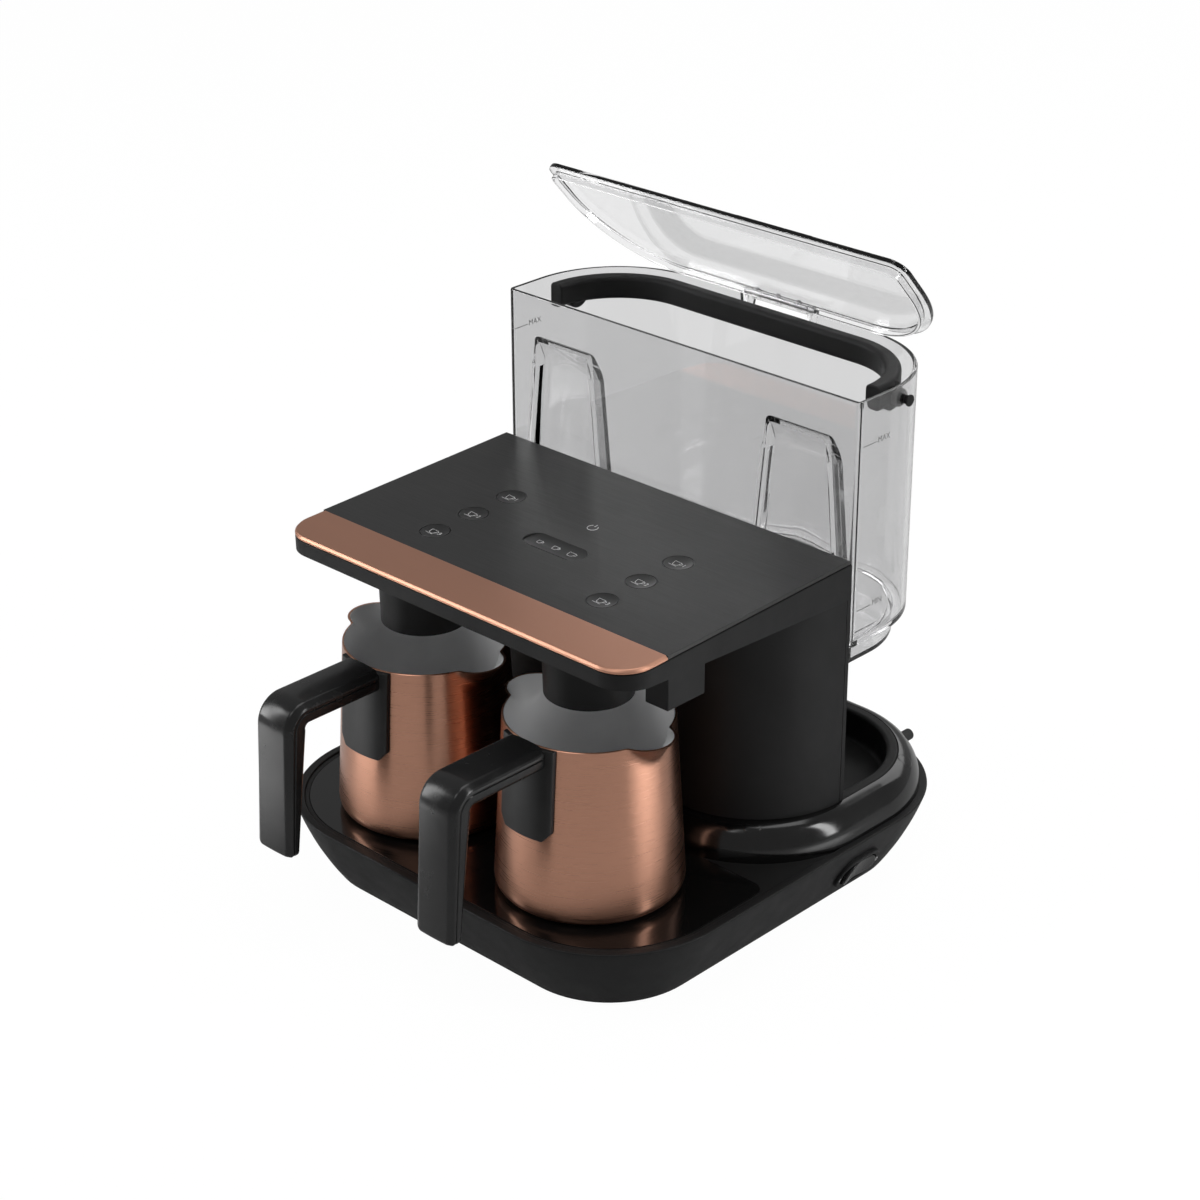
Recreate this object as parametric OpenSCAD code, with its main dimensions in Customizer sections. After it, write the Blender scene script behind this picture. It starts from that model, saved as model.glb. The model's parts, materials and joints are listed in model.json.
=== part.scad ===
// Electric Turkish coffee maker with two pots and a lift-out water tank.
// Origin at the middle of the underside, +X to the right, -Y to the user, +Z up, millimetres.

/* [Base] */
// Width of the base over its rim
base_w = 260; // [250:1:280]
// Depth of the base over its rim
base_d = 272; // [272:1:285]
// How far the base's middle lies behind the origin
base_shift = 2; // [1.5:0.1:2.5]
// Height of the rim above the table
base_h = 41; // [38:0.5:46]
// Corner radius of the rim
base_r = 66; // [60:1:72]
// How far the underside is drawn in from the rim
base_tuck = 18.7; // [12:0.1:20]
// How far the side wall bulges out of a straight line
base_bulge = 1.5; // [0.5:0.1:2.5]
// Wall thickness of the base shell
base_wall = 3; // [2.5:0.1:3.5]
// Height of the rubber feet
foot_h = 2.5; // [2:0.1:4]
// Diameter of the rubber feet
foot_d = 18; // [12:1:22]
// Thickness of the bottom cover
cover_t = 2.5; // [2:0.1:3]

/* [Hotplate] */
// Width of the border between rim and hotplate
hotplate_border = 7; // [6.5:0.1:9]
// Thickness of the hotplate
hotplate_t = 3; // [2.5:0.1:3.2]
// Back edge of the hotplate
hotplate_back = -21; // [-26:0.5:-20]
// Corner radius at the back of the hotplate
hotplate_r = 8; // [5:0.5:12]
// Radius of one heater disc
heater_r = 33; // [28:0.5:35]

/* [Column] */
// How far the column's sides lie inside the base's rim
body_inset = 15; // [14:0.5:18]
// Front face of the column
column_front = -13; // [-14:0.5:-10]
// Back edge of the oval plan that column and tank share
plan_back = 125; // [123:0.5:126]
// Corner radius of the oval plan
plan_r = 55; // [50:0.5:56]
// Wall thickness of the column
column_wall = 2.5; // [2:0.1:3]
// Back face of the column
column_back_y = 45.2; // [44.8:0.1:45.4]
// How far the glossy ring stands out round the column
dome_out = 11.7; // [9:0.1:11.8]
// Height of the glossy ring above the deck
dome_h = 18; // [15:0.1:18]
// Wall thickness of the glossy ring
dome_wall = 2.5; // [2:0.1:3]
// Diameter of the round caps in the glossy ring
cap_d = 8.8; // [7:0.1:9]

/* [Head] */
// Height of the panel at its back edge
panel_z = 188.3; // [186:0.1:192]
// Back edge of the panel
panel_back = 43; // [42:0.1:43.5]
// Fall of the panel towards the user in degrees
panel_slope = 1.4; // [1:0.1:2]
// Length of the panel and trim along the slope
head_l = 154.6; // [152:0.1:158]
// Thickness of the head at its front edge
head_front_t = 10; // [9.5:0.1:12]
// Thickness of the head at its back edge
head_back_t = 21; // [20:0.1:24]
// Corner radius at the front of the head
head_r = 17; // [12:0.5:20]
// Thickness of the panel and the copper trim
panel_t = 2; // [1.8:0.1:2.2]
// Depth of the copper trim along the slope
trim_l = 27.8; // [24:0.1:28]
// Diameter of the round keys
key_d = 14.8; // [13:0.1:16]
// Length of the long key
size_key_l = 38; // [32:0.5:42]
// Sideways distance of the key rows from the middle
key_x = 56; // [50:0.5:58]
// Distance between keys in a row
key_pitch = 26; // [22:0.5:27]
// How far a key travels
key_travel = 0.8; // [0.5:0.1:0.8]
// Radius of a nozzle at its foot
nozzle_r = 21.5; // [19:0.5:22]
// Height of a nozzle's lower end
nozzle_z = 142.5; // [141.5:0.1:146]

/* [Pots] */
// Sideways distance of a pot from the middle
pot_x = 55.7; // [54:0.1:57]
// Place of a pot along Y
pot_y = -72.5; // [-74:0.5:-72]
// Height of a pot
pot_h = 91; // [86:0.5:92]
// Outer radius at the mouth
pot_mouth_r = 40.9; // [38:0.1:42]
// Outer radius where the pot is widest
pot_belly_r = 45.9; // [43:0.1:46.5]
// Wall thickness of a pot
pot_wall = 1.2; // [1:0.1:1.6]
// How far a spout reaches past the mouth
spout_out = 9; // [6:0.1:10]
// Reach of the handle from the pot's centre
handle_reach = 103; // [100:0.5:106]
// Width of the handle
handle_w = 24.5; // [22:0.5:27]
// Thickness of the grip at its top
handle_t = 12.5; // [11:0.5:13.5]

/* [Tank] */
// Front face of the tank
tank_front = 46; // [46:0.1:46.5]
// How far the tank is drawn up out of its well
tank_lift = 81.4; // [70:0.1:84]
// Height of the tank's body above its shoulder
tank_body_h = 126.5; // [122:0.5:130]
// Height of the tank's foot below its shoulder
tank_foot_h = 13; // [11:0.1:13.5]
// Wall thickness of the tank
tank_wall = 2.2; // [1.8:0.1:2.6]
// Step between the tank's body and its foot
tank_step = 6.6; // [6.4:0.1:8]
// Depth of the guide pockets
pocket_depth = 8; // [6:0.1:9]
// Opening angle of the lid in the photograph's pose
lid_open = 48; // [30:1:60]
// Thickness of the lid
lid_t = 2.5; // [2:0.1:3]
// Height of the bail's section
bail_h = 12.3; // [10:0.1:13]
// Width of the bail's section
bail_t = 8; // [6:0.1:9]

/* [Hidden] */
$fn = 64;
// Gap between pieces that are put together
fit = 0.3;
// Gap round the hotplate
hotplate_gap = 0.2;
// Gap that makes cut tools pass right through
eps = 0.5;
hw = base_w / 2 - body_inset;
base_front = base_shift - base_d / 2;
base_back = base_shift + base_d / 2;
deck_z = base_h - 1;
deck_t = 4;
deck_floor = deck_z - deck_t;
rim_t = 4.5;
rim_edge = 0.9;
ledge = 4.5;
cover_z = foot_h + cover_t;
post_r = 4.5;
post_x = base_w / 2 - base_tuck - 22.3;
post_y = base_d / 2 - 41;
foot_seat = 1;
foot_pin_r = 3;
foot_x = base_w / 2 - base_tuck - 42;
foot_y = base_d / 2 - 37;
screw_r = 1.5;
screw_head_r = 2.8;
vent_count = 6;
coil_r = 24;
board_t = 1.6;

// Well and glossy ring
lip_z = deck_z + dome_h + 0.4;
well_wall = 6;
well_floor = deck_z + 2;
outlet_y = (tank_front + plan_back) / 2;
outlet_r = 3;

// Head, measured from the panel's back edge along the slope
under_slope = (head_back_t - head_front_t) / head_l;
trim_back = head_l - trim_l;
seam = 0.8;
key_front = 20;
key_row = [for (k = [2, 1, 0]) trim_back - key_front - k * key_pitch];
size_key_y = key_row[1];
size_key_w = 13;
key_gap = 0.25;
key_flange = 1;
key_dish = 0.9;
board_top = -8;
switch_h = 1;
stem_low = board_top + switch_h + key_travel + 0.1;
board_w = 2 * (key_x + key_d / 2 + key_flange + 1);
nozzle_top_r = nozzle_r + 1;
nozzle_wall = 2;
hose_r = 2.5;
hose_x = pot_x + 16.3;
hose_bend = 6;
sensor_w = 14;
sensor_l = 25;
sensor_x = hw - 5;
sensor_z = 153;
sensor_y = -78;

// Tank, in the raised pose
shoulder_z = lip_z + 0.4 + tank_lift;
tank_top = shoulder_z + tank_body_h;
tank_bottom = shoulder_z - tank_foot_h;
foot_hw = hw - tank_step;
foot_front = tank_front + 3.2;
foot_back = plan_back - tank_step;
pocket_in = 37.5;
pocket_x = hw - pocket_in;
pocket_top = tank_top - 24;
pocket_top_w = 17.5;
pocket_flare = 0.103;
pocket_ramp = 12;
rail_gap = 0.8;
rail_low = lip_z + 1.6;
hinge_y = plan_back + 1;
hinge_z = tank_top + 0.5;
hinge_x = 22.2;
ear_t = 3.2;
ear_r = 3.4;
pin_r = 1.5;
lid_z = tank_top + fit;
lid_edge = 0.4;
skirt_in = 3.6;
skirt_t = 1.5;
skirt_h = 4;
bail_in = 7.5;
bail_y = 82.5;
bail_z = tank_top - 8.7;
bail_front = 69;
bail_pin_r = 2.2;
bail_lug_r = 7.6;
bail_washer_r = 4.5;
bail_chamfer = 2.2;
valve_r = 6.8;
valve_h = 12;
valve_bore_r = 3.2;
valve_seat_r = 5;
valve_slot = 3;
stem_r = 1.6;
spring_r = 3.4;
spring_wire = 0.8;
valve_low = tank_bottom - 1.4;

// Pots
pot_z = deck_z + 0.4;
pot_top = pot_z + pot_h;
spout_r = 15;
spout_drop = 19;
collar_t = 2.4;
collar_w = 32;
collar_h = 47;
arm_t = 11;
grip_low = pot_z + 14;
grip_low_t = 7;
grip_lean = 3;
handle_round = 14;
handle_chamfer = 2.8;
shell_t = 5;
shell_low_t = 3;
shell_gap = 0.1;
screw_y = -60;
screw_end = pot_top - 1.8;

// Power switch, on the right-hand wall of the base
switch_y = 48.6;
switch_z = 20.5;
switch_tilt = 26;
bezel_l = 31;
bezel_w = 17;
rocker_l = 21;
rocker_w = 12;
bezel_t = 1.6;
housing_w = bezel_w - 2.4;
housing_l = bezel_l - 2.4;
housing_depth = 13;
rocker_back = -4.4;
rocker_axis = -3;
rocker_pin_r = 1.15;
rocker_dish_r = 24;

// Inner pieces
heater_z = deck_z - hotplate_t - 4;
board_z = 12;
board_l = 56;
board_d = 70;
board_x0 = post_x - board_l - 9;
board_y0 = 30;
pump_z = 118;
pump_y = 14;
pump_r = 17;
spigot_r = 2.9;
tee_z = 148;

// Caps and cord sleeve in the glossy ring
cap_rise = 68;
sleeve_x = hw - 31;
sleeve_z = deck_z + 6;
sleeve_r = 3;
sleeve_l = 15.3;
sleeve_tip = plan_back + dome_out + 3;

// Rounded outline from y0 to y1 with one radius at the front and one at the back
module plan(w, y0, y1, rf, rb) {
    translate([-w + rf, y0]) square([2 * (w - rf), y1 - y0 - rb]);
    translate([-w, y0 + rf]) square([2 * w, y1 - y0 - rf - rb]);
    translate([-w + rb, y0 + rf]) square([2 * (w - rb), y1 - y0 - rf]);
    for (s = [0, 1]) mirror([s, 0]) {
        translate([w - rf, y0 + rf]) mirror([0, 1]) quarter(rf);
        translate([w - rb, y1 - rb]) quarter(rb);
    }
}

// Quarter disc that laps a little into what it rounds off
module quarter(r) {
    lap = min(1, r / 2);
    intersection() {
        circle(r);
        translate([-lap, -lap]) square(r + 2 * lap);
    }
}

// Sweeps a profile round a rounded rectangle; the profile's x is the distance outwards
module swept(w, y0, y1, r) {
    starts = [[w, y1 - r], [-w + r, y1], [-w, y0 + r], [w - r, y0]];
    centres = [[w - r, y1 - r], [-w + r, y1 - r], [-w + r, y0 + r], [w - r, y0 + r]];
    lengths = [y1 - y0 - 2 * r, 2 * (w - r), y1 - y0 - 2 * r, 2 * (w - r)];
    for (k = [0:3]) {
        translate([centres[k][0], centres[k][1], 0])
            rotate([0, 0, 90 * k])
                rotate_extrude(angle = 90)
                    translate([r, 0]) children();
        translate([starts[k][0], starts[k][1], 0])
            rotate([0, 0, 90 * k])
                rotate([90, 0, 0])
                    linear_extrude(lengths[k]) children();
    }
}

// Outline of the bowl's outer face at share t of its height
function bowl_point(t, inset) = [
    -base_tuck * (1 - t) + 3.6 * base_bulge * t * (1 - t) - inset,
    foot_h + (base_h - rim_edge - foot_h) * t - 1.75 * base_bulge * t * (1 - t)
];

module base_profile() {
    steps = 6;
    outer = [for (i = [0:steps]) bowl_point(i / steps, 0)];
    inner = [for (i = [0:steps]) bowl_point((steps - i) / steps * 0.8, base_wall)];
    polygon(concat(
        outer,
        [[-rim_edge, base_h], [-rim_t, base_h], [-rim_t, deck_floor]],
        [[-rim_t - ledge, deck_floor], [-rim_t - ledge, deck_floor - 2]],
        inner
    ));
    translate([-base_tuck - base_wall - 4, cover_z]) square([7, 2]);
}

// Places children in the switch's frame: x out of the wall, z up along it
module switch_frame() {
    wall_x = base_w / 2 - base_tuck / 2 + 1.35 * base_bulge;
    translate([wall_x, switch_y, switch_z]) rotate([0, switch_tilt, 0]) children();
}

// An oblong of length l along Y and height w, extruded from x0 to x1
module oblong_x(l, w, x0, x1) {
    translate([x0, 0, 0]) rotate([90, 0, 90]) linear_extrude(x1 - x0) {
        square([l - w, w], center = true);
        for (s = [-1, 1]) translate([s * (l - w) / 2, 0]) circle(w / 2);
    }
}

module base_shell() {
    color([0.14, 0.14, 0.14]) difference() {
        swept(base_w / 2, base_front, base_back, base_r) base_profile();
        translate([0, 0, deck_z - fit]) linear_extrude(base_h) ring_outline(fit);
        switch_frame() oblong_x(housing_l + 0.4, housing_w + 0.4, -housing_depth, 12);
    }
}

module deck_outline(inset) {
    plan(base_w / 2 - inset, base_front + inset, base_back - inset, base_r - inset, base_r - inset);
}

// Outline of the glossy ring's foot
module ring_outline(grow) {
    out = dome_out + grow;
    plan(hw + out, column_front - out, plan_back + out, plan_r + out, plan_r + out);
}

module hotplate_outline(grow) {
    w = base_w / 2 - hotplate_border + grow;
    y0 = base_front + hotplate_border - grow;
    difference() {
        plan(w, y0, hotplate_back + grow, base_r - hotplate_border + grow, hotplate_r + grow);
        ring_outline(fit - grow);
    }
}

module at_pots() {
    for (s = [-1, 1]) translate([s * pot_x, pot_y, 0]) children();
}

module at_posts() {
    for (sx = [-1, 1]) for (sy = [-1, 1]) translate([sx * post_x, base_shift + sy * post_y, 0]) children();
}

module base_deck() {
    color([0.15, 0.15, 0.15]) difference() {
        union() {
            translate([0, 0, deck_floor]) linear_extrude(deck_t) deck_outline(rim_t + fit);
            at_posts() translate([0, 0, cover_z]) cylinder(r = post_r, h = deck_floor - cover_z + 0.5);
        }
        translate([0, 0, deck_z - hotplate_t])
            linear_extrude(hotplate_t + eps) hotplate_outline(hotplate_gap);
        at_pots() translate([0, 0, deck_floor - eps]) cylinder(r = heater_r + 1, h = deck_t);
        at_posts() translate([0, 0, cover_z - eps]) cylinder(r = screw_r + 0.1, h = 16);
        translate([0, outlet_y, deck_floor - eps]) cylinder(r = 6, h = deck_t + 2 * eps);
        translate([-60, column_front + 6, deck_floor - eps]) cube([120, 40, deck_t + 2 * eps]);
    }
}

module bottom_cover() {
    inset = base_tuck + base_wall + fit;
    color([0.1, 0.1, 0.1]) difference() {
        union() {
            translate([0, 0, foot_h]) linear_extrude(cover_t) deck_outline(inset);
            at_board_posts() translate([0, 0, cover_z - eps]) cylinder(r = 3, h = board_z - cover_z + eps);
        }
        at_posts() {
            translate([0, 0, foot_h - eps]) cylinder(r = screw_r + 0.3, h = cover_t + 2 * eps);
            translate([0, 0, foot_h - eps]) cylinder(r = screw_head_r + 0.3, h = 1.4 + eps);
        }
        for (i = [0:vent_count - 1])
            translate([-60 + i * 8, -24, foot_h - eps]) cube([3.4, 40, cover_t + 2 * eps]);
        at_feet() translate([0, 0, foot_h - eps]) {
            cylinder(r = foot_pin_r + 0.1, h = cover_t + 2 * eps);
            cylinder(d = foot_d + 0.4, h = foot_seat + eps);
        }
    }
}

module bottom_screws() {
    color([0.6, 0.6, 0.62]) at_posts() {
        translate([0, 0, foot_h + 0.1]) cylinder(r = screw_head_r, h = 1.3);
        translate([0, 0, foot_h + 0.1]) cylinder(r = screw_r, h = 14);
    }
}

module at_feet() {
    for (sx = [-1, 1]) for (sy = [-1, 1]) translate([sx * foot_x, base_shift + sy * foot_y, 0]) children();
}

module rubber_feet() {
    color([0.05, 0.05, 0.05]) at_feet() {
        cylinder(d = foot_d, h = foot_h + foot_seat - 0.1);
        cylinder(r = foot_pin_r, h = cover_z);
    }
}

module hotplate() {
    color([0.03, 0.03, 0.03])
        translate([0, 0, deck_z - hotplate_t]) linear_extrude(hotplate_t + 0.2) hotplate_outline(0);
}

// A cast disc with a tubular element half sunk into its underside
module heater() {
    color([0.65, 0.65, 0.66]) {
        translate([0, 0, heater_z]) cylinder(r = heater_r, h = 4);
        translate([0, 0, heater_z]) rotate_extrude() translate([coil_r, 0]) circle(3.3, $fn = 24);
        for (x = [-5, 5]) translate([x, coil_r, heater_z - 12]) cylinder(r = 1.6, h = 12);
    }
}

module heater_left() { translate([-pot_x, pot_y, 0]) heater(); }

module heater_right() { translate([pot_x, pot_y, 0]) heater(); }

module heat_sensors() {
    color([0.8, 0.8, 0.75]) at_pots() {
        translate([0, 0, heater_z - 5]) cylinder(r = 6, h = 5);
        for (x = [-3, 3]) translate([x, 0, heater_z - 9]) cylinder(r = 0.9, h = 5);
    }
}

module at_board_posts() {
    for (dx = [5, board_l - 5]) for (dy = [5, board_d - 5])
        translate([board_x0 + dx, board_y0 + dy, 0]) children();
}

module power_board() {
    top = board_z + board_t;
    color([0.1, 0.35, 0.18]) translate([board_x0, board_y0, board_z]) cube([board_l, board_d, board_t]);
    color([0.15, 0.15, 0.17]) {
        translate([board_x0 + 8, board_y0 + 8, top - 0.1]) cube([16, 18, 12]);
        translate([board_x0 + 32, board_y0 + 10, top - 0.1]) cube([15, 11, 10]);
        translate([board_x0 + 14, board_y0 + 44, top - 0.1]) cylinder(r = 5, h = 15);
        translate([board_x0 + 30, board_y0 + 44, top - 0.1]) cylinder(r = 4, h = 12);
    }
}

// Quarter ellipse with its foot on the deck and its crown at the column
module dome_profile() {
    steps = 10;
    a = dome_out - fit;
    outer = [for (i = [0:steps]) [fit + a * cos(90 * i / steps), deck_z + dome_h * sin(90 * i / steps)]];
    b = a - dome_wall;
    c = dome_h - dome_wall;
    inner = [for (i = [0:steps])
        [fit + b * sin(90 * i / steps), deck_z + c * cos(90 * i / steps)]];
    polygon(concat(outer, inner));
}

// The four places on the ring's round corners where the caps sit, z square to the surface
module at_caps() {
    a = dome_out - fit;
    reach = plan_r + fit + a * cos(cap_rise);
    tilt = atan((cos(cap_rise) / a) / (sin(cap_rise) / dome_h));
    for (s = [-1, 1]) {
        for (place = [[column_front + plan_r, -50], [plan_back - plan_r, 30]])
            translate([s * (hw - plan_r), place[0], 0])
                rotate([0, 0, s > 0 ? place[1] : 180 - place[1]])
                    translate([reach, 0, deck_z + dome_h * sin(cap_rise)])
                        rotate([0, tilt, 0]) children();
    }
}

module pedestal_dome() {
    color([0.04, 0.04, 0.04]) difference() {
        swept(hw, column_front, plan_back, plan_r) dome_profile();
        at_caps() translate([0, 0, -6]) cylinder(d = cap_d + 0.4, h = 9);
        translate([sleeve_x, sleeve_tip + 5, sleeve_z])
            rotate([90, 0, 0]) cylinder(r = sleeve_r + 0.1, h = 20);
    }
}

module dome_caps() {
    color([0.07, 0.07, 0.07]) at_caps() {
        translate([0, 0, -1.1]) cylinder(d = cap_d, h = 1.3);
        translate([0, 0, -2.6]) cylinder(d = cap_d - 3, h = 1.6);
    }
}

module cord_sleeve() {
    flange_y = sleeve_tip - sleeve_l - 1.2;
    color([0.06, 0.06, 0.06]) translate([sleeve_x, 0, sleeve_z]) {
        translate([0, flange_y, 0]) rotate([-90, 0, 0]) cylinder(r = 4, h = 2);
        difference() {
            translate([0, flange_y, 0]) rotate([-90, 0, 0]) cylinder(r = sleeve_r, h = sleeve_l);
            translate([0, sleeve_tip - 5, 0]) rotate([-90, 0, 0]) cylinder(r = sleeve_r - 1.2, h = 6);
        }
    }
}

// Tub that takes the tank's foot, with a round-edged lip and the outlet in its floor
module tank_well() {
    top = lip_z;
    color([0.13, 0.13, 0.13]) difference() {
        union() {
            difference() {
                translate([0, 0, deck_z]) linear_extrude(top - deck_z)
                    plan(hw, column_back_y, plan_back, 1, plan_r);
                translate([0, 0, well_floor]) linear_extrude(top)
                    plan(hw - well_wall, column_back_y + 3.2, plan_back - well_wall, 2, plan_r - well_wall);
            }
            translate([0, outlet_y, deck_z]) cylinder(r = 9, h = 3.4);
            translate([0, outlet_y, deck_z - 9.5]) cylinder(r = outlet_r, h = 11.5);
        }
        translate([0, outlet_y, deck_z - 13]) cylinder(r = outlet_r - 1, h = 20);
    }
    pin_top = valve_low + 0.2 - tank_lift - 0.4;
    color([0.13, 0.13, 0.13]) {
        translate([0, outlet_y, deck_z - 4]) cylinder(r = 0.8, h = pin_top - deck_z + 4);
        translate([-outlet_r + 0.5, outlet_y - 0.5, deck_z - 4]) cube([2 * outlet_r - 1, 1, 3]);
    }
}

module outlet_seal() {
    color([0.5, 0.5, 0.5]) translate([0, outlet_y, deck_z + 3.4]) difference() {
        cylinder(r = 8.4, h = 0.5);
        translate([0, 0, -eps]) cylinder(r = 5, h = 2);
    }
}

module switch_housing() {
    color([0.05, 0.05, 0.05]) switch_frame() difference() {
        union() {
            oblong_x(bezel_l, bezel_w, 0.2, 0.2 + bezel_t);
            oblong_x(housing_l, housing_w, -housing_depth, 1);
        }
        oblong_x(rocker_l + 0.8, rocker_w + 0.4, -6, 3);
        translate([rocker_axis, 0, -bezel_w / 2]) cylinder(r = rocker_pin_r + 0.15, h = bezel_w);
    }
}

// Rocker with a dished face, on a pin along the wall
module power_rocker() {
    color([0.03, 0.03, 0.03]) switch_frame() {
        difference() {
            intersection() {
                oblong_x(rocker_l, rocker_w, rocker_back, bezel_t);
                translate([rocker_axis - 2, 0, -rocker_w])
                    cylinder(r = rocker_l / 2 + 0.1, h = 2 * rocker_w);
            }
            translate([rocker_dish_r + 0.4, 0, -rocker_w]) cylinder(r = rocker_dish_r, h = 2 * rocker_w);
        }
        translate([rocker_axis, 0, -rocker_w / 2 - 0.9]) cylinder(r = rocker_pin_r, h = rocker_w + 1.8);
    }
}

// Places children on the panel: y from 0 at its back edge, z from 0 at its top
module panel_frame() {
    translate([0, panel_back, panel_z]) rotate([panel_slope, 0, 0]) children();
}

// Space above the head's sloping underside, used to trim what meets it
module above_underside() {
    panel_frame() translate([200, 0, 0]) rotate([90, 0, -90]) linear_extrude(400)
        polygon([
            [-20, -head_back_t - 20 * under_slope],
            [head_l + 60, -head_front_t + 60 * under_slope],
            [head_l + 60, 60],
            [-20, 60]
        ]);
}

module oval_front(inset) {
    intersection() {
        plan(hw - inset, column_front + inset, plan_back - inset, plan_r - inset, plan_r - inset);
        translate([-hw - 1, column_front - 1]) square([2 * hw + 2, column_back_y - 2.6 - column_front + 1]);
    }
}

module column_shell() {
    color([0.14, 0.14, 0.14]) difference() {
        translate([0, 0, deck_z]) linear_extrude(panel_z - deck_z) difference() {
            oval_front(0);
            oval_front(column_wall);
        }
        above_underside();
    }
    color([0.14, 0.14, 0.14]) at_column_bosses() difference() {
        rotate([90, 0, 0]) cylinder(r = 4, h = 12);
        translate([0, eps, 0]) rotate([90, 0, 0]) cylinder(r = screw_r + 0.1, h = 11);
    }
}

// The four screw bosses inside the column, z up, at the back plate's inner face
module at_column_bosses() {
    for (s = [-1, 1]) for (z = [70, 145])
        translate([s * (hw - column_wall - 3.8), column_back_y - 2.6, z]) children();
}

function rail_half(z) = pocket_top_w + (pocket_top - tank_lift - z) * pocket_flare - rail_gap;

// Tapered rail that the tank's guide pocket rides on
module guide_rail() {
    top = pocket_top - tank_lift - rail_gap;
    full = top - pocket_ramp;
    depth = pocket_depth - 1;
    intersection() {
        translate([0, column_back_y + 20, 0]) rotate([90, 0, 0]) linear_extrude(22)
            polygon([
                [-rail_half(rail_low), rail_low], [rail_half(rail_low), rail_low],
                [rail_half(top), top], [-rail_half(top), top]
            ]);
        translate([-40, 0, 0]) rotate([90, 0, 90]) linear_extrude(80)
            polygon([
                [column_back_y - 0.2, rail_low], [column_back_y + depth, rail_low],
                [column_back_y + depth, full], [column_back_y, top], [column_back_y - 0.2, top]
            ]);
    }
}

module column_back() {
    color([0.13, 0.13, 0.13]) difference() {
        union() {
            translate([-hw, column_back_y - 2.6, deck_z]) cube([2 * hw, 2.6, panel_z - deck_z]);
            for (s = [-1, 1]) translate([s * pocket_x, 0, 0]) guide_rail();
        }
        above_underside();
        at_column_bosses() {
            translate([0, -eps, 0]) rotate([-90, 0, 0]) cylinder(r = screw_r + 0.3, h = 4);
            translate([0, 1.2, 0]) rotate([-90, 0, 0]) cylinder(r = screw_head_r + 0.3, h = 4);
        }
    }
}

module column_screws() {
    color([0.6, 0.6, 0.62]) at_column_bosses() {
        translate([0, 1.2, 0]) rotate([-90, 0, 0]) cylinder(r = screw_head_r, h = 1.2);
        translate([0, 1.3, 0]) rotate([90, 0, 0]) cylinder(r = screw_r, h = 10);
    }
}

module water_pump() {
    color([0.75, 0.75, 0.72]) {
        translate([-24, pump_y, pump_z]) rotate([0, 90, 0]) cylinder(r = pump_r, h = 48);
        translate([-30, pump_y, pump_z]) rotate([0, 90, 0]) cylinder(r = 9, h = 60);
        translate([0, pump_y, pump_z - pump_r - 6]) cylinder(r = spigot_r, h = 8);
        translate([0, pump_y, pump_z + pump_r - 1]) cylinder(r = 4, h = tee_z - pump_z - pump_r + 1);
        translate([-9, pump_y, tee_z]) rotate([0, 90, 0]) cylinder(r = 4, h = 18);
    }
}

module pump_bracket() {
    plate_y = column_back_y - 2.6;
    color([0.55, 0.55, 0.56]) difference() {
        union() {
            translate([-28, plate_y - 2, pump_z - 22]) cube([56, 2, 44]);
            for (x = [-18, 15]) translate([x, 0, 0]) {
                translate([0, pump_y, pump_z]) rotate([0, 90, 0]) cylinder(r = pump_r + 3, h = 3);
                translate([0, pump_y, pump_z - 14]) cube([3, plate_y - pump_y - 1, 28]);
            }
        }
        translate([-29, pump_y, pump_z]) rotate([0, 90, 0]) cylinder(r = pump_r + 0.1, h = 58);
    }
}

// Turns children so that their z runs along d and their x along a
module aim(at, d, a) {
    b = cross(d, a);
    multmatrix([
        [a[0], b[0], d[0], at[0]],
        [a[1], b[1], d[1], at[1]],
        [a[2], b[2], d[2], at[2]],
        [0, 0, 0, 1]
    ]) children();
}

// A hose along square corners, with round bends
module hose(points, ro, ri, bend) {
    n = len(points);
    dirs = [for (i = [0:n - 2]) (points[i + 1] - points[i]) / norm(points[i + 1] - points[i])];
    for (i = [0:n - 2]) {
        lead = i == 0 ? 0 : bend;
        trail = i == n - 2 ? 0 : bend;
        side = abs(dirs[i][0]) > 0.5 ? [0, 1, 0] : [1, 0, 0];
        length = norm(points[i + 1] - points[i]) - lead - trail;
        aim(points[i] + lead * dirs[i], dirs[i], side) linear_extrude(length) difference() {
            circle(ro);
            circle(ri);
        }
    }
    for (i = [1:n - 2]) {
        in = dirs[i - 1];
        out = dirs[i];
        axis = cross(in, out);
        centre = points[i] - bend * in + bend * out;
        multmatrix([
            [-out[0], in[0], axis[0], centre[0]],
            [-out[1], in[1], axis[1], centre[1]],
            [-out[2], in[2], axis[2], centre[2]],
            [0, 0, 0, 1]
        ]) rotate_extrude(angle = 90) translate([bend, 0]) difference() {
            circle(ro);
            circle(ri);
        }
    }
}

module hose_inlet() {
    low = 20;
    color([0.85, 0.85, 0.82]) hose([
        [0, outlet_y, deck_floor - 1], [0, outlet_y, low],
        [0, pump_y, low], [0, pump_y, pump_z - pump_r - 0.4]
    ], 5, outlet_r + 0.1, 10);
}

module side_hose(s) {
    run_z = panel_z - 10.5;
    color([0.85, 0.85, 0.82]) hose([
        [s * 9.2, pump_y, tee_z], [s * hose_x, pump_y, tee_z], [s * hose_x, pump_y, run_z],
        [s * hose_x, pot_y, run_z], [s * hose_x, pot_y, nozzle_z + nozzle_wall]
    ], hose_r, hose_r - 0.8, hose_bend);
}

module hose_left() { side_hose(-1); }

module hose_right() { side_hose(1); }

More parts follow.
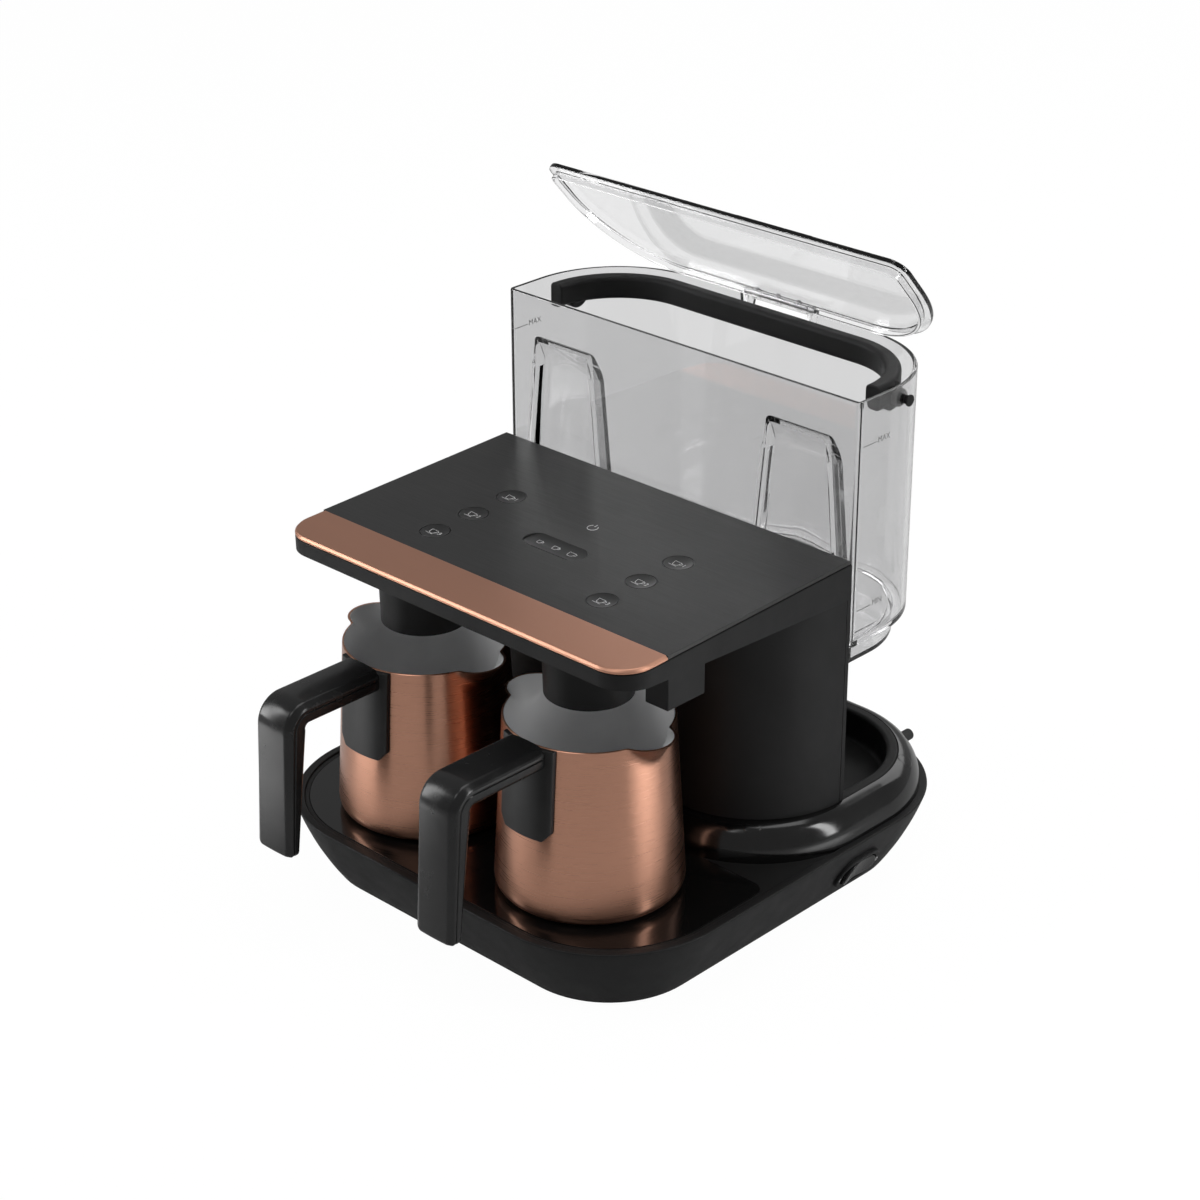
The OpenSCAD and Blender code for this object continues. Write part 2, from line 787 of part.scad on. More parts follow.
// Wedge of the head in the panel's frame, drawn in by t on every side
module head_wedge(t, top) {
    intersection() {
        translate([0, -head_l, -60]) linear_extrude(80)
            plan(hw - t, t, head_l + column_back_y - panel_back - t, head_r - t, 1.5);
        translate([200, 0, 0]) rotate([90, 0, -90]) linear_extrude(400)
            polygon([
                [-10, -head_back_t - 10 * under_slope + t],
                [head_l + 10, -head_front_t + 10 * under_slope + t],
                [head_l + 10, top], [-10, top]
            ]);
    }
}

module head_shell() {
    color([0.13, 0.13, 0.13]) difference() {
        panel_frame() difference() {
            head_wedge(0, -panel_t);
            head_wedge(column_wall, 1);
            difference() {
                translate([-hw - 1, -head_l - 1, -panel_t - seam]) cube([2 * hw + 2, head_l - 4, seam + 1]);
                head_wedge(0.9, 5);
            }
        }
        at_pots() translate([0, 0, nozzle_z]) cylinder(r = nozzle_r - 2, h = 40);
        translate([-80, column_front + 8, 150]) cube([160, 34, 36]);
    }
}

module control_panel() {
    color([0.2, 0.2, 0.2]) panel_frame() {
        difference() {
            translate([-hw, -trim_back, -panel_t]) cube([2 * hw, trim_back, panel_t]);
            for (s = [-1, 1]) for (y = key_row)
                translate([s * key_x, -y, -panel_t - eps])
                    cylinder(d = key_d + 2 * key_gap, h = panel_t + 2 * eps);
            translate([0, -size_key_y, -panel_t - eps])
                linear_extrude(panel_t + 2 * eps) size_outline(key_gap);
        }
        for (s = [-1, 1]) for (y = [key_row[0] - 11, key_row[2] - key_pitch / 2])
            translate([s * 34, -y, board_top]) cylinder(r = 2.5, h = -panel_t - board_top);
    }
}

module size_outline(grow) {
    w = size_key_w / 2 + grow;
    square([size_key_l - size_key_w, 2 * w], center = true);
    for (s = [-1, 1]) translate([s * (size_key_l - size_key_w) / 2, 0]) circle(w);
}

module copper_trim() {
    color([0.72, 0.5, 0.4]) panel_frame() intersection() {
        translate([0, -head_l, -panel_t]) linear_extrude(panel_t) plan(hw, 0, head_l, head_r, 1);
        translate([-hw, -head_l, -panel_t]) cube([2 * hw, trim_l - 0.1, 2 * panel_t]);
    }
}

module control_board() {
    color([0.1, 0.35, 0.18]) panel_frame() {
        y1 = key_row[0] - 15;
        y2 = key_row[2] + key_d / 2 + 3;
        translate([-board_w / 2, -y2, board_top - board_t]) cube([board_w, y2 - y1, board_t]);
        for (s = [-1, 1]) for (y = key_row)
            translate([s * key_x - 3, -y - 3, board_top - 0.1]) cube([6, 6, switch_h + 0.1]);
        translate([-3, -size_key_y - 3, board_top - 0.1]) cube([6, 6, switch_h + 0.1]);
    }
}

// Round hood under the head that the brewing water leaves by
module nozzle(s) {
    difference() {
        translate([s * pot_x, pot_y, nozzle_z]) difference() {
            cylinder(r1 = nozzle_r, r2 = nozzle_top_r, h = 45);
            translate([0, 0, nozzle_wall])
                cylinder(r1 = nozzle_r - nozzle_wall, r2 = nozzle_top_r - nozzle_wall, h = 45);
            translate([s * (hose_x - pot_x), 0, -eps]) cylinder(r = hose_r - 0.8, h = 5);
        }
        above_underside();
    }
}

module nozzle_left() { color([0.12, 0.12, 0.12]) nozzle(-1); }

module nozzle_right() { color([0.12, 0.12, 0.12]) nozzle(1); }

// Housing of the froth sensor beside a nozzle
module sensor_block(s) {
    color([0.12, 0.12, 0.12]) difference() {
        translate([s > 0 ? sensor_x - sensor_w : -sensor_x, sensor_y, sensor_z])
            cube([sensor_w, sensor_l, 40]);
        above_underside();
        sensor_eye(s, 5.2, 2);
    }
}

module sensor_eye(s, r, depth) {
    translate([s * (sensor_x - sensor_w + depth), sensor_y + sensor_l / 2, sensor_z + 8])
        rotate([0, -s * 90, 0]) cylinder(r = r, h = depth + (r > 5.1 ? 1 : 0));
}

module sensor_block_left() { sensor_block(-1); }

module sensor_block_right() { sensor_block(1); }

module sensor_windows() {
    color([0.3, 0.05, 0.05]) for (s = [-1, 1]) sensor_eye(s, 5, 2);
}

// Round key: a dished cap, a flange that holds it under the panel, and a stem
module round_key() {
    r = key_d / 2;
    ball = (r * r + key_dish * key_dish) / (2 * key_dish);
    difference() {
        union() {
            translate([0, 0, -panel_t - 1.4]) cylinder(r = r, h = panel_t + 1.4);
            translate([0, 0, -panel_t - 1.4]) cylinder(r = r + key_flange, h = 1.2);
            translate([0, 0, stem_low]) cylinder(r = 2, h = -stem_low - panel_t - 1);
        }
        translate([0, 0, ball - key_dish]) sphere(r = ball, $fn = 96);
    }
}

module key_at(s, row) {
    color([0.16, 0.16, 0.16]) panel_frame() translate([s * key_x, -key_row[row], 0]) round_key();
}

module key_left_1() { key_at(-1, 0); }

module key_left_2() { key_at(-1, 1); }

module key_left_3() { key_at(-1, 2); }

module key_right_1() { key_at(1, 0); }

module key_right_2() { key_at(1, 1); }

module key_right_3() { key_at(1, 2); }

module key_size() {
    trough = 23.5;
    color([0.16, 0.16, 0.16]) panel_frame() translate([0, -size_key_y, 0]) difference() {
        union() {
            translate([0, 0, -panel_t - 1.4]) linear_extrude(panel_t + 1.4) size_outline(0);
            translate([0, 0, -panel_t - 1.4]) linear_extrude(1.2) size_outline(key_flange);
            translate([0, 0, stem_low]) cylinder(r = 2, h = -stem_low - panel_t - 1);
        }
        translate([-size_key_l, 0, trough - key_dish])
            rotate([0, 90, 0]) cylinder(r = trough, h = 2 * size_key_l);
    }
}

module tank_outer() {
    translate([0, 0, shoulder_z]) linear_extrude(tank_body_h) plan(hw, tank_front, plan_back, 3, plan_r);
    translate([0, 0, tank_bottom]) linear_extrude(tank_foot_h + 1)
        plan(foot_hw, foot_front, foot_back, 3, plan_r - tank_step);
}

// Guide pocket in the tank's front wall: tapered, open below, with a ramp at its top
module pocket(grow, y0) {
    top = pocket_top + grow;
    half_top = pocket_top_w + grow;
    half_low = pocket_top_w + grow + (pocket_top - tank_bottom + eps) * pocket_flare;
    back = tank_front + pocket_depth + grow;
    intersection() {
        translate([0, back + 5, 0]) rotate([90, 0, 0]) linear_extrude(back + 6 - y0)
            polygon([
                [-half_low, tank_bottom - eps], [half_low, tank_bottom - eps],
                [half_top, top], [-half_top, top]
            ]);
        translate([-60, 0, 0]) rotate([90, 0, 90]) linear_extrude(120)
            polygon([
                [y0, tank_bottom - eps], [back, tank_bottom - eps], [back, top - pocket_ramp],
                [tank_front + grow, top], [y0, top]
            ]);
    }
}

module tank_body() {
    color([0.85, 0.9, 0.92, 0.45]) difference() {
        union() {
            difference() {
                tank_outer();
                translate([0, 0, shoulder_z + tank_wall]) linear_extrude(tank_body_h) plan(
                    hw - tank_wall, tank_front + tank_wall, plan_back - tank_wall, 1, plan_r - tank_wall);
                translate([0, 0, tank_bottom + tank_wall]) linear_extrude(tank_foot_h + 1) plan(
                    foot_hw - tank_wall, foot_front + tank_wall, foot_back - tank_wall, 1,
                    plan_r - tank_step - tank_wall);
            }
            for (s = [-1, 1]) intersection() {
                translate([s * pocket_x, 0, 0]) pocket(tank_wall, tank_front - 1);
                tank_outer();
            }
        }
        for (s = [-1, 1]) translate([s * pocket_x, 0, 0]) pocket(0, tank_front - 3);
        translate([-hinge_x - 2.3, plan_back - tank_wall - 1, tank_top - 5])
            cube([2 * hinge_x + 4.6, tank_wall + 2, 10]);
        translate([-hw - 1, bail_y, bail_z])
            rotate([0, 90, 0]) cylinder(r = bail_pin_r + 0.3, h = 2 * hw + 2);
        translate([0, outlet_y, tank_bottom - eps]) cylinder(r = valve_r + 0.2, h = 5);
    }
    color([0.85, 0.9, 0.92, 0.45]) for (s = [-1, 1]) hinge_ear(s);
}

// Ear on the outside of the tank's back wall that carries the hinge pin
module hinge_ear(s) {
    x0 = s > 0 ? hinge_x - ear_t : -hinge_x;
    difference() {
        union() {
            translate([x0, hinge_y, hinge_z]) rotate([0, 90, 0]) cylinder(r = ear_r, h = ear_t);
            translate([x0, 0, 0]) rotate([90, 0, 90]) linear_extrude(ear_t) polygon([
                [plan_back - tank_wall / 2, hinge_z - 16], [plan_back + 0.1, hinge_z - 16],
                [hinge_y + ear_r - 0.4, hinge_z - 1.5], [hinge_y, hinge_z],
                [plan_back - tank_wall + 0.2, hinge_z - 2]
            ]);
        }
        translate([x0 - 1, hinge_y, hinge_z]) rotate([0, 90, 0]) cylinder(r = pin_r + 0.05, h = ear_t + 2);
    }
}

module lid_hinge_pin() {
    color([0.3, 0.3, 0.3]) translate([-hinge_x, hinge_y, hinge_z])
        rotate([0, 90, 0]) cylinder(r = pin_r, h = 2 * hinge_x);
}

// The lid as it lies closed on the rim
module lid_closed() {
    knuckle = hinge_x - ear_t - 0.4;
    difference() {
        union() {
            translate([0, 0, lid_z]) linear_extrude(lid_t)
                plan(hw, tank_front, plan_back - lid_edge, 9, plan_r - lid_edge);
            translate([0, 0, lid_z - skirt_h]) linear_extrude(skirt_h + 0.5) difference() {
                plan(hw - skirt_in, tank_front + skirt_in, plan_back - skirt_in, 6, plan_r - skirt_in);
                plan(
                    hw - skirt_in - skirt_t, tank_front + skirt_in + skirt_t,
                    plan_back - skirt_in - skirt_t, 4.5, plan_r - skirt_in - skirt_t);
            }
            translate([-knuckle, hinge_y - 4, lid_z]) cube([2 * knuckle, 4, lid_t]);
            translate([-knuckle, hinge_y, hinge_z])
                rotate([0, 90, 0]) cylinder(r = ear_r - 0.5, h = 2 * knuckle);
        }
        translate([-knuckle - 1, hinge_y, hinge_z]) rotate([0, 90, 0])
            cylinder(r = pin_r + 0.15, h = 2 * knuckle + 2);
        for (s = [-1, 1])
            translate([s > 0 ? knuckle : -knuckle - ear_t - 1, hinge_y - ear_r - 0.8, lid_z - 0.2])
                cube([ear_t + 1, 8, 8]);
    }
}

module tank_lid() {
    color([0.85, 0.9, 0.92, 0.45]) translate([0, hinge_y, hinge_z]) rotate([-lid_open, 0, 0])
        translate([0, -hinge_y, -hinge_z]) lid_closed();
}

// Cross-section of the bail with its edges taken off
module bail_section() {
    c = bail_chamfer;
    translate([-bail_t / 2, -bail_h / 2]) polygon([
        [c, 0], [bail_t - c, 0], [bail_t, c], [bail_t, bail_h - c],
        [bail_t - c, bail_h], [c, bail_h], [0, bail_h - c], [0, c]
    ]);
}

// Half width of the tank's plan, drawn in by inset, at a place on its back corners
function side_x(y, inset) = hw - plan_r + sqrt(pow(plan_r - inset, 2) - pow(y - plan_back + plan_r, 2));

// Round disc on the bail's axis, from x0 to x1 on one side
module bail_disc(s, x0, x1, r) {
    translate([s * (x0 + x1) / 2, bail_y, bail_z]) rotate([0, 90, 0])
        cylinder(r = r, h = x1 - x0, center = true);
}

// Bail lying in its stored place along the back of the rim
module tank_bail() {
    w = hw - bail_in - bail_t / 2;
    back = plan_back - bail_in - bail_t / 2;
    r = plan_r - bail_in - bail_t / 2;
    mid_z = tank_top - 0.6 - bail_h / 2;
    lug_out = side_x(bail_y + bail_lug_r, skirt_in + skirt_t) - fit;
    washer_out = side_x(bail_y + bail_washer_r, tank_wall) - 0.2;
    color([0.05, 0.05, 0.05]) {
        translate([-w + r, back, mid_z]) rotate([90, 0, 90]) linear_extrude(2 * (w - r)) bail_section();
        for (s = [-1, 1]) {
            translate([s * w, back - r, mid_z]) rotate([90, 0, 0])
                linear_extrude(back - r - bail_front) bail_section();
            translate([s * (w - r), back - r, mid_z]) rotate([0, 0, s > 0 ? 0 : 90])
                rotate_extrude(angle = 90) translate([r, 0]) bail_section();
            bail_disc(s, w - bail_t / 2 + 0.2, lug_out, bail_lug_r);
            bail_disc(s, lug_out - 1, washer_out, bail_washer_r);
            translate([s * (hw - bail_in + 2), bail_y, bail_z]) rotate([0, 90, 0])
                cylinder(r = bail_pin_r, h = 11, center = true);
        }
    }
}

module at_valve() { translate([0, outlet_y, 0]) children(); }

module valve_body() {
    floor_top = tank_bottom + tank_wall;
    color([0.9, 0.9, 0.88]) at_valve() difference() {
        union() {
            translate([0, 0, valve_low]) cylinder(r = valve_r, h = valve_h);
            translate([0, 0, floor_top]) cylinder(r = valve_r + 2.6, h = 2);
        }
        translate([0, 0, valve_low - eps]) cylinder(r = valve_bore_r, h = valve_h);
        translate([0, 0, floor_top]) cylinder(r = valve_seat_r, h = valve_h);
        for (turn = [0, 90]) rotate([0, 0, turn])
            translate([-8, -valve_slot / 2, floor_top + 4]) cube([16, valve_slot, 3.5]);
    }
}

module valve_cap() {
    color([0.9, 0.9, 0.88]) at_valve() translate([0, 0, valve_low + valve_h]) difference() {
        cylinder(r = valve_r, h = 1.6);
        translate([0, 0, -eps]) cylinder(r = stem_r + 0.3, h = 4);
    }
}

module valve_stem() {
    floor_top = tank_bottom + tank_wall;
    color([0.2, 0.2, 0.2]) at_valve() {
        translate([0, 0, valve_low + 0.2]) cylinder(r = stem_r, h = valve_h + 1);
        translate([0, 0, floor_top + 0.1]) cylinder(r = valve_seat_r - 0.6, h = 1.4);
    }
}

module valve_spring() {
    low = tank_bottom + tank_wall + 1.6;
    color([0.7, 0.7, 0.72]) at_valve() translate([0, 0, low]) difference() {
        cylinder(r = spring_r, h = valve_low + valve_h - low);
        translate([0, 0, -eps]) cylinder(r = spring_r - spring_wire, h = 20);
    }
}

function pot_r(z) = pot_belly_r + (pot_mouth_r - pot_belly_r) * (z - 6) / (pot_h - 6);

// Half section of a pot, drawn in by t: round foot edge, straight tapered wall
module pot_section(t) {
    edge = 6 - t;
    steps = 5;
    r = pot_belly_r - t;
    round_foot = [for (i = [0:steps])
        [r - edge + edge * sin(90 * i / steps), t + edge - edge * cos(90 * i / steps)]];
    top = t > 0 ? pot_h + eps : pot_h;
    polygon(concat([[0, t]], round_foot, [[pot_r(top) - t, top], [0, top]]));
}

// Cone that a spout bulges out of the wall as
module spout(s, t) {
    slope = spout_r / spout_drop;
    rise = t * norm([1, slope]) / slope;
    h = spout_drop - rise + (t > 0 ? eps : 0);
    translate([s * (pot_mouth_r + spout_out - spout_r), 0, pot_h - spout_drop + rise])
        cylinder(r1 = 0, r2 = slope * h, h = h);
}

module pot() {
    color([0.72, 0.5, 0.4]) translate([0, 0, pot_z]) difference() {
        union() {
            rotate_extrude() pot_section(0);
            for (s = [-1, 1]) spout(s, 0);
        }
        rotate_extrude() pot_section(pot_wall);
        for (s = [-1, 1]) spout(s, pot_wall);
    }
}

// Shield that wraps the pot's front and carries the handle
module pot_collar() {
    gap = 0.15;
    low = pot_h - collar_h;
    w = collar_w / 2;
    color([0.06, 0.06, 0.06]) translate([0, 0, pot_z]) intersection() {
        rotate_extrude() polygon([
            [pot_r(low) + gap, low], [pot_r(low) + gap + collar_t, low],
            [pot_r(pot_h) + gap + collar_t, pot_h], [pot_r(pot_h) + gap, pot_h]
        ]);
        rotate([90, 0, 0]) linear_extrude(pot_belly_r + 10) polygon([
            [-w + 5, low - 1], [w - 5, low - 1], [w, low + 5],
            [w, pot_h + 1], [-w, pot_h + 1], [-w, low + 5]
        ]);
    }
}

// Thin slice across the handle, d0 to d1 below a place on its outer line, turned by a
module handle_slice(y, z, a, d0, d1, c) {
    w = handle_w / 2;
    translate([0, y, z]) rotate([a, 0, 0]) linear_extrude(0.01) polygon([
        [-w + c, d0], [w - c, d0], [w, d0 + c], [w, d1], [-w, d1], [-w, d0 + c]
    ]);
}

// Arm and grip as slices joined one to the next, each turned square to the bar's run.
// d0 and d1 are the depths of its outer and inner face below the handle's outer line,
// each as [arm, top of the grip, foot of the grip].
module handle_bar(d0, d1, c) {
    top = pot_z + pot_h + 1;
    reach = -handle_reach + grip_lean;
    r = handle_round;
    bend = [for (k = [0:3]) k * 30];
    stations = concat(
        [[-pot_mouth_r + 2, top, -90, d0[0], d1[0]]],
        [for (t = bend) [reach + r - r * sin(t), top - r + r * cos(t), t - 90,
            d0[0] + (d0[1] - d0[0]) * t / 90, d1[0] + (d1[1] - d1[0]) * t / 90]],
        [[-handle_reach, grip_low, 0, d0[2], d1[2]]]
    );
    for (i = [0:len(stations) - 2]) hull() for (s = [stations[i], stations[i + 1]])
        handle_slice(s[0], s[1], s[2], s[3], s[4], c);
}

// What the collar takes away from the arm
module collar_cut() {
    translate([0, 0, pot_z]) cylinder(
        r1 = pot_r(0) + collar_t + 0.3, r2 = pot_r(pot_h + 6) + collar_t + 0.3, h = pot_h + 6);
}

module handle_shell() {
    color([0.05, 0.05, 0.05]) difference() {
        handle_bar([0, 0, 0], [shell_t, shell_t, shell_low_t], handle_chamfer);
        collar_cut();
        translate([0, screw_y, screw_end - 6]) cylinder(r = 1.25, h = 6.4);
    }
}

module handle_core() {
    seam = [for (t = [shell_t, shell_t, shell_low_t]) t + shell_gap];
    color([0.08, 0.08, 0.08]) difference() {
        handle_bar(seam, [arm_t, handle_t, grip_low_t], 0);
        collar_cut();
        translate([0, screw_y, pot_top - 30]) cylinder(r = 1.6, h = 40);
        translate([0, screw_y, pot_top - 30]) cylinder(r = 2.8, h = 30 - arm_t + 3);
    }
}

module handle_screw() {
    color([0.6, 0.6, 0.62]) translate([0, screw_y, pot_top - arm_t + 1.6]) {
        cylinder(r = 2.5, h = 1.3);
        cylinder(r = 1.2, h = screw_end - (pot_top - arm_t + 1.6));
    }
}

module at_left_pot() { translate([-pot_x, pot_y, 0]) children(); }

module at_right_pot() { translate([pot_x, pot_y, 0]) children(); }

module pot_left() { at_left_pot() pot(); }

module pot_collar_left() { at_left_pot() pot_collar(); }

module handle_shell_left() { at_left_pot() handle_shell(); }

module handle_core_left() { at_left_pot() handle_core(); }

module handle_screw_left() { at_left_pot() handle_screw(); }

module pot_right() { at_right_pot() pot(); }

module pot_collar_right() { at_right_pot() pot_collar(); }

module handle_shell_right() { at_right_pot() handle_shell(); }

module handle_core_right() { at_right_pot() handle_core(); }

module handle_screw_right() { at_right_pot() handle_screw(); }

base_shell();
base_deck();
bottom_cover();
bottom_screws();
rubber_feet();
hotplate();
heater_left();
heater_right();
heat_sensors();
power_board();
pedestal_dome();
dome_caps();
tank_well();
outlet_seal();
cord_sleeve();
switch_housing();
power_rocker();
column_shell();
column_back();
column_screws();
water_pump();
pump_bracket();
hose_inlet();
hose_left();
hose_right();
head_shell();
control_panel();
copper_trim();
control_board();
nozzle_left();
nozzle_right();
sensor_block_left();
sensor_block_right();
sensor_windows();
key_left_1();
key_left_2();
key_left_3();
key_right_1();
key_right_2();
key_right_3();
key_size();
tank_body();
tank_lid();
lid_hinge_pin();
tank_bail();
valve_body();
valve_cap();
valve_stem();
valve_spring();
pot_left();
pot_collar_left();
handle_shell_left();
handle_core_left();
handle_screw_left();
pot_right();
pot_collar_right();
handle_shell_right();
handle_core_right();
handle_screw_right();
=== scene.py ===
"""Looks of an electric Turkish coffee maker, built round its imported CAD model."""

import json
import math

import bmesh
import bpy
from bpy.props import FloatProperty, FloatVectorProperty, IntProperty, PointerProperty
from mathutils import Matrix, Vector


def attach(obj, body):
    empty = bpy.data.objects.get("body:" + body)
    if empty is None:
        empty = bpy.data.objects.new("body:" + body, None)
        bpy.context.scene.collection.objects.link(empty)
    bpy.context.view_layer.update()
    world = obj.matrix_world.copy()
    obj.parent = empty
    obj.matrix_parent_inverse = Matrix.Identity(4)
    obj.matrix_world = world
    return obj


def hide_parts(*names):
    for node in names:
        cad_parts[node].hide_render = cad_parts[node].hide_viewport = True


bl_info = {
    "name": "Turkish coffee maker",
    "version": (1, 0, 0),
    "blender": (4, 5, 0),
    "location": "View3D > Sidebar > Coffee maker",
    "description": "Builds the visible pieces of an electric Turkish coffee maker",
    "category": "Add Mesh",
}

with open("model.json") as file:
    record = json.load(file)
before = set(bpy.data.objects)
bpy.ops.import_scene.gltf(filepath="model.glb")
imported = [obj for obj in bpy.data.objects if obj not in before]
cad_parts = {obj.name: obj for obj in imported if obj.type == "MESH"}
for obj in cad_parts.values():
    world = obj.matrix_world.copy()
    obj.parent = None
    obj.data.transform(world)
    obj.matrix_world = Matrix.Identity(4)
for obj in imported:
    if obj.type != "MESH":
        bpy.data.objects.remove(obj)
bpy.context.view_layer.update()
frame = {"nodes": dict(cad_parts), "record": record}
MM = 0.001
TINY = 0.01 * MM


# ---------------------------------------------------------------- sizes


def length(name, text, value):
    return FloatProperty(name=name, description=text, default=value * MM, unit="LENGTH", precision=5)


def colour(name, text, value):
    return FloatVectorProperty(
        name=name, description=text, default=value, subtype="COLOR", size=3, min=0, max=1
    )


class BaseSizes(bpy.types.PropertyGroup):
    half: length("Half width", "Half the width of the base over its rim", 130)
    front: length("Front", "Front of the rim", -134)
    back: length("Back", "Back of the rim", 138)
    corner: length("Corner", "Corner radius of the rim", 66)
    rim: length("Rim height", "Height of the rim above the table", 41)
    tuck: length("Tuck", "How far the underside is drawn in", 18.7)
    bulge: length("Bulge", "How far the wall bulges outwards", 1.5)
    wall: length("Wall", "Thickness of the wall", 3)
    plate_border: length("Plate border", "Border between rim and hotplate", 7)
    plate_back: length("Plate back", "Back edge of the hotplate", -21)


class BodySizes(bpy.types.PropertyGroup):
    half: length("Half width", "Half the width of column, head and tank", 115)
    column_front: length("Column front", "Front face of the column", -13)
    column_back: length("Column back", "Back face of the column", 45.2)
    back: length("Back", "Back edge of the oval plan", 125)
    corner: length("Corner", "Corner radius of the oval plan", 55)
    ring_out: length("Ring", "How far the glossy ring stands out", 11.7)
    ring_top: length("Ring top", "Height of the ring's crown", 58)
    deck: length("Deck", "Height of the deck", 40)


class HeadSizes(bpy.types.PropertyGroup):
    back: length("Panel back", "Back edge of the panel", 43)
    top: length("Panel height", "Height of the panel at its back edge", 188.3)
    slope: FloatProperty(
        name="Slope", description="Fall of the panel to the front", default=math.radians(1.4), subtype="ANGLE"
    )
    run: length("Length", "Length of panel and trim", 154.6)
    corner: length("Corner", "Front corner radius", 17)
    front_depth: length("Front depth", "Depth of the head at the front", 10)
    back_depth: length("Back depth", "Depth of the head at the back", 21)
    sheet: length("Sheet", "Thickness of panel and trim", 2)
    trim: length("Trim", "Depth of the copper trim", 27.8)
    key: length("Key", "Diameter of a round key", 14.8)
    key_x: length("Key place", "Sideways place of the key rows", 56)


class TankSizes(bpy.types.PropertyGroup):
    front: length("Front", "Front face of the tank", 46)
    rim: length("Rim", "Height of the rim", 266.7)
    shoulder: length("Shoulder", "Height of the shoulder over the foot", 140.2)
    foot: length("Foot", "Height of the foot's underside", 127.2)
    wall: length("Wall", "Thickness of the walls", 2.2)
    step: length("Step", "How far the foot is drawn in", 6.6)
    pocket_x: length("Pocket place", "Sideways place of a guide pocket", 77.5)
    pocket_top: length("Pocket top", "Height of a pocket's top", 242.7)
    pocket_half: length("Pocket width", "Half the width of a pocket at its top", 17.5)
    pocket_deep: length("Pocket depth", "How far a pocket goes in", 8)
    lid: length("Lid", "Thickness of the lid", 2.5)
    skirt: length("Skirt", "Depth of the skirt under the lid", 4)
    hinge_y: length("Hinge", "Place of the hinge pin", 126)
    hinge_z: length("Hinge height", "Height of the hinge pin", 267.2)
    bail_inset: length("Bail inset", "Gap between bail and wall", 7.5)
    bail_deep: length("Bail depth", "Height of the bail's section", 12.3)
    bail_wide: length("Bail width", "Width of the bail's section", 8)
    bail_y: length("Bail pivot", "Place of the bail's pivot", 82.5)
    bail_z: length("Bail pivot height", "Height of the bail's pivot", 258)
    open: FloatProperty(
        name="Lid opening", description="How far the lid stands open", default=math.radians(48), subtype="ANGLE"
    )


class PotSizes(bpy.types.PropertyGroup):
    x: length("Place", "Sideways place of a pot", 55.7)
    y: length("Depth place", "Place of a pot along the machine", -72.5)
    foot: length("Foot", "Height of a pot's underside", 40.4)
    height: length("Height", "Height of a pot", 91)
    mouth: length("Mouth", "Radius at the mouth", 40.9)
    belly: length("Belly", "Radius at the widest place", 45.9)
    wall: length("Wall", "Wall thickness", 1.2)
    spout: length("Spout", "How far a spout reaches past the mouth", 9)
    reach: length("Reach", "Reach of the handle at its foot", 103)
    lean: length("Lean", "How far the grip leans out to its foot", 3)
    handle: length("Handle", "Width of the handle", 24.5)
    elbow: length("Elbow", "Radius of the handle's elbow", 14)
    grip_foot: length("Grip foot", "Height of the grip's lower end", 54.4)
    turns: IntProperty(name="Steps", description="Steps round a pot", default=144, min=48, max=256)


class Finishes(bpy.types.PropertyGroup):
    matte: colour("Matte black", "Moulded matte plastic", (0.011, 0.011, 0.0112))
    gloss: colour("Gloss black", "Polished plastic", (0.004, 0.004, 0.004))
    panel: colour("Panel", "Dark brushed panel", (0.034, 0.034, 0.034))
    copper: colour("Copper", "Copper-coloured metal", (0.52, 0.27, 0.185))
    # Painted light: the coating's colour is near white, far lighter than a grey non-stick coating, so that the shaded
    # inside of the pots shows as evenly lit grey.
    coating_and_painted_light: colour("Coating", "Inside of the pots", (0.8, 0.8, 0.803))
    print: colour("Print", "Printed signs", (0.62, 0.62, 0.62))


# ---------------------------------------------------------------- mesh tools

SIDES = ((-1, "left"), (1, "right"))


def mm(*values):
    """Numbers, or tuples of numbers, from millimetres to metres."""
    return tuple(mm(*v) if isinstance(v, tuple) else v * MM for v in values)


def move(x, y, z):
    return Matrix.Translation((x, y, z))


def turn(degrees, axis):
    return Matrix.Rotation(math.radians(degrees), 4, axis)


def rounded(bm, geom, width, segments, affect="VERTICES", clamp=False):
    """Bevels corners or edges by an exact width."""
    bmesh.ops.bevel(
        bm, geom=geom, offset=width, offset_type="OFFSET", segments=segments, profile=0.5,
        affect=affect, clamp_overlap=clamp, material=-1,
    )


def rectangle(bm, half, y0, y1, z=0):
    """A flat face; returns its two front corners and its two back corners."""
    verts = bmesh.ops.create_grid(bm, x_segments=1, y_segments=1, size=1)["verts"]
    bmesh.ops.scale(bm, verts=verts, vec=(half, (y1 - y0) / 2, 1))
    middle = (y0 + y1) / 2
    bmesh.ops.translate(bm, verts=verts, vec=(0, middle, z))
    return [[v for v in verts if (v.co.y > middle) == back] for back in (False, True)]


def cut(bm, geom, point, normal, **more):
    """Cuts faces along a plane."""
    bmesh.ops.bisect_plane(bm, geom=geom, dist=0.001 * MM, plane_co=point, plane_no=normal, **more)


def whole(bm):
    return bm.verts[:] + bm.edges[:] + bm.faces[:]


def plan(bm, half, y0, y1, rf, rb, z, steps=20):
    """A flat outline with round corners, its face upwards."""
    for radius, corners in zip((rf, rb), rectangle(bm, half, y0, y1, z)):
        if radius > 0.1 * MM:
            rounded(bm, corners, radius, max(3, int(steps * min(1, radius / (20 * MM)))))
    bm.normal_update()
    return max(bm.faces, key=lambda f: len(f.verts) if abs(f.calc_center_median().z - z) < 1e-6 else 0)


def step(bm, face, inward, up):
    """Draws a face in and lifts it along its own normal."""
    if abs(inward) < 1e-9:
        normal = face.normal.copy()
        face = bmesh.ops.extrude_discrete_faces(bm, faces=[face])["faces"][0]
        bmesh.ops.translate(bm, verts=face.verts, vec=normal * up)
        return face
    bmesh.ops.inset_region(
        bm, faces=[face], thickness=inward, depth=up, use_boundary=True, use_even_offset=True
    )
    return face


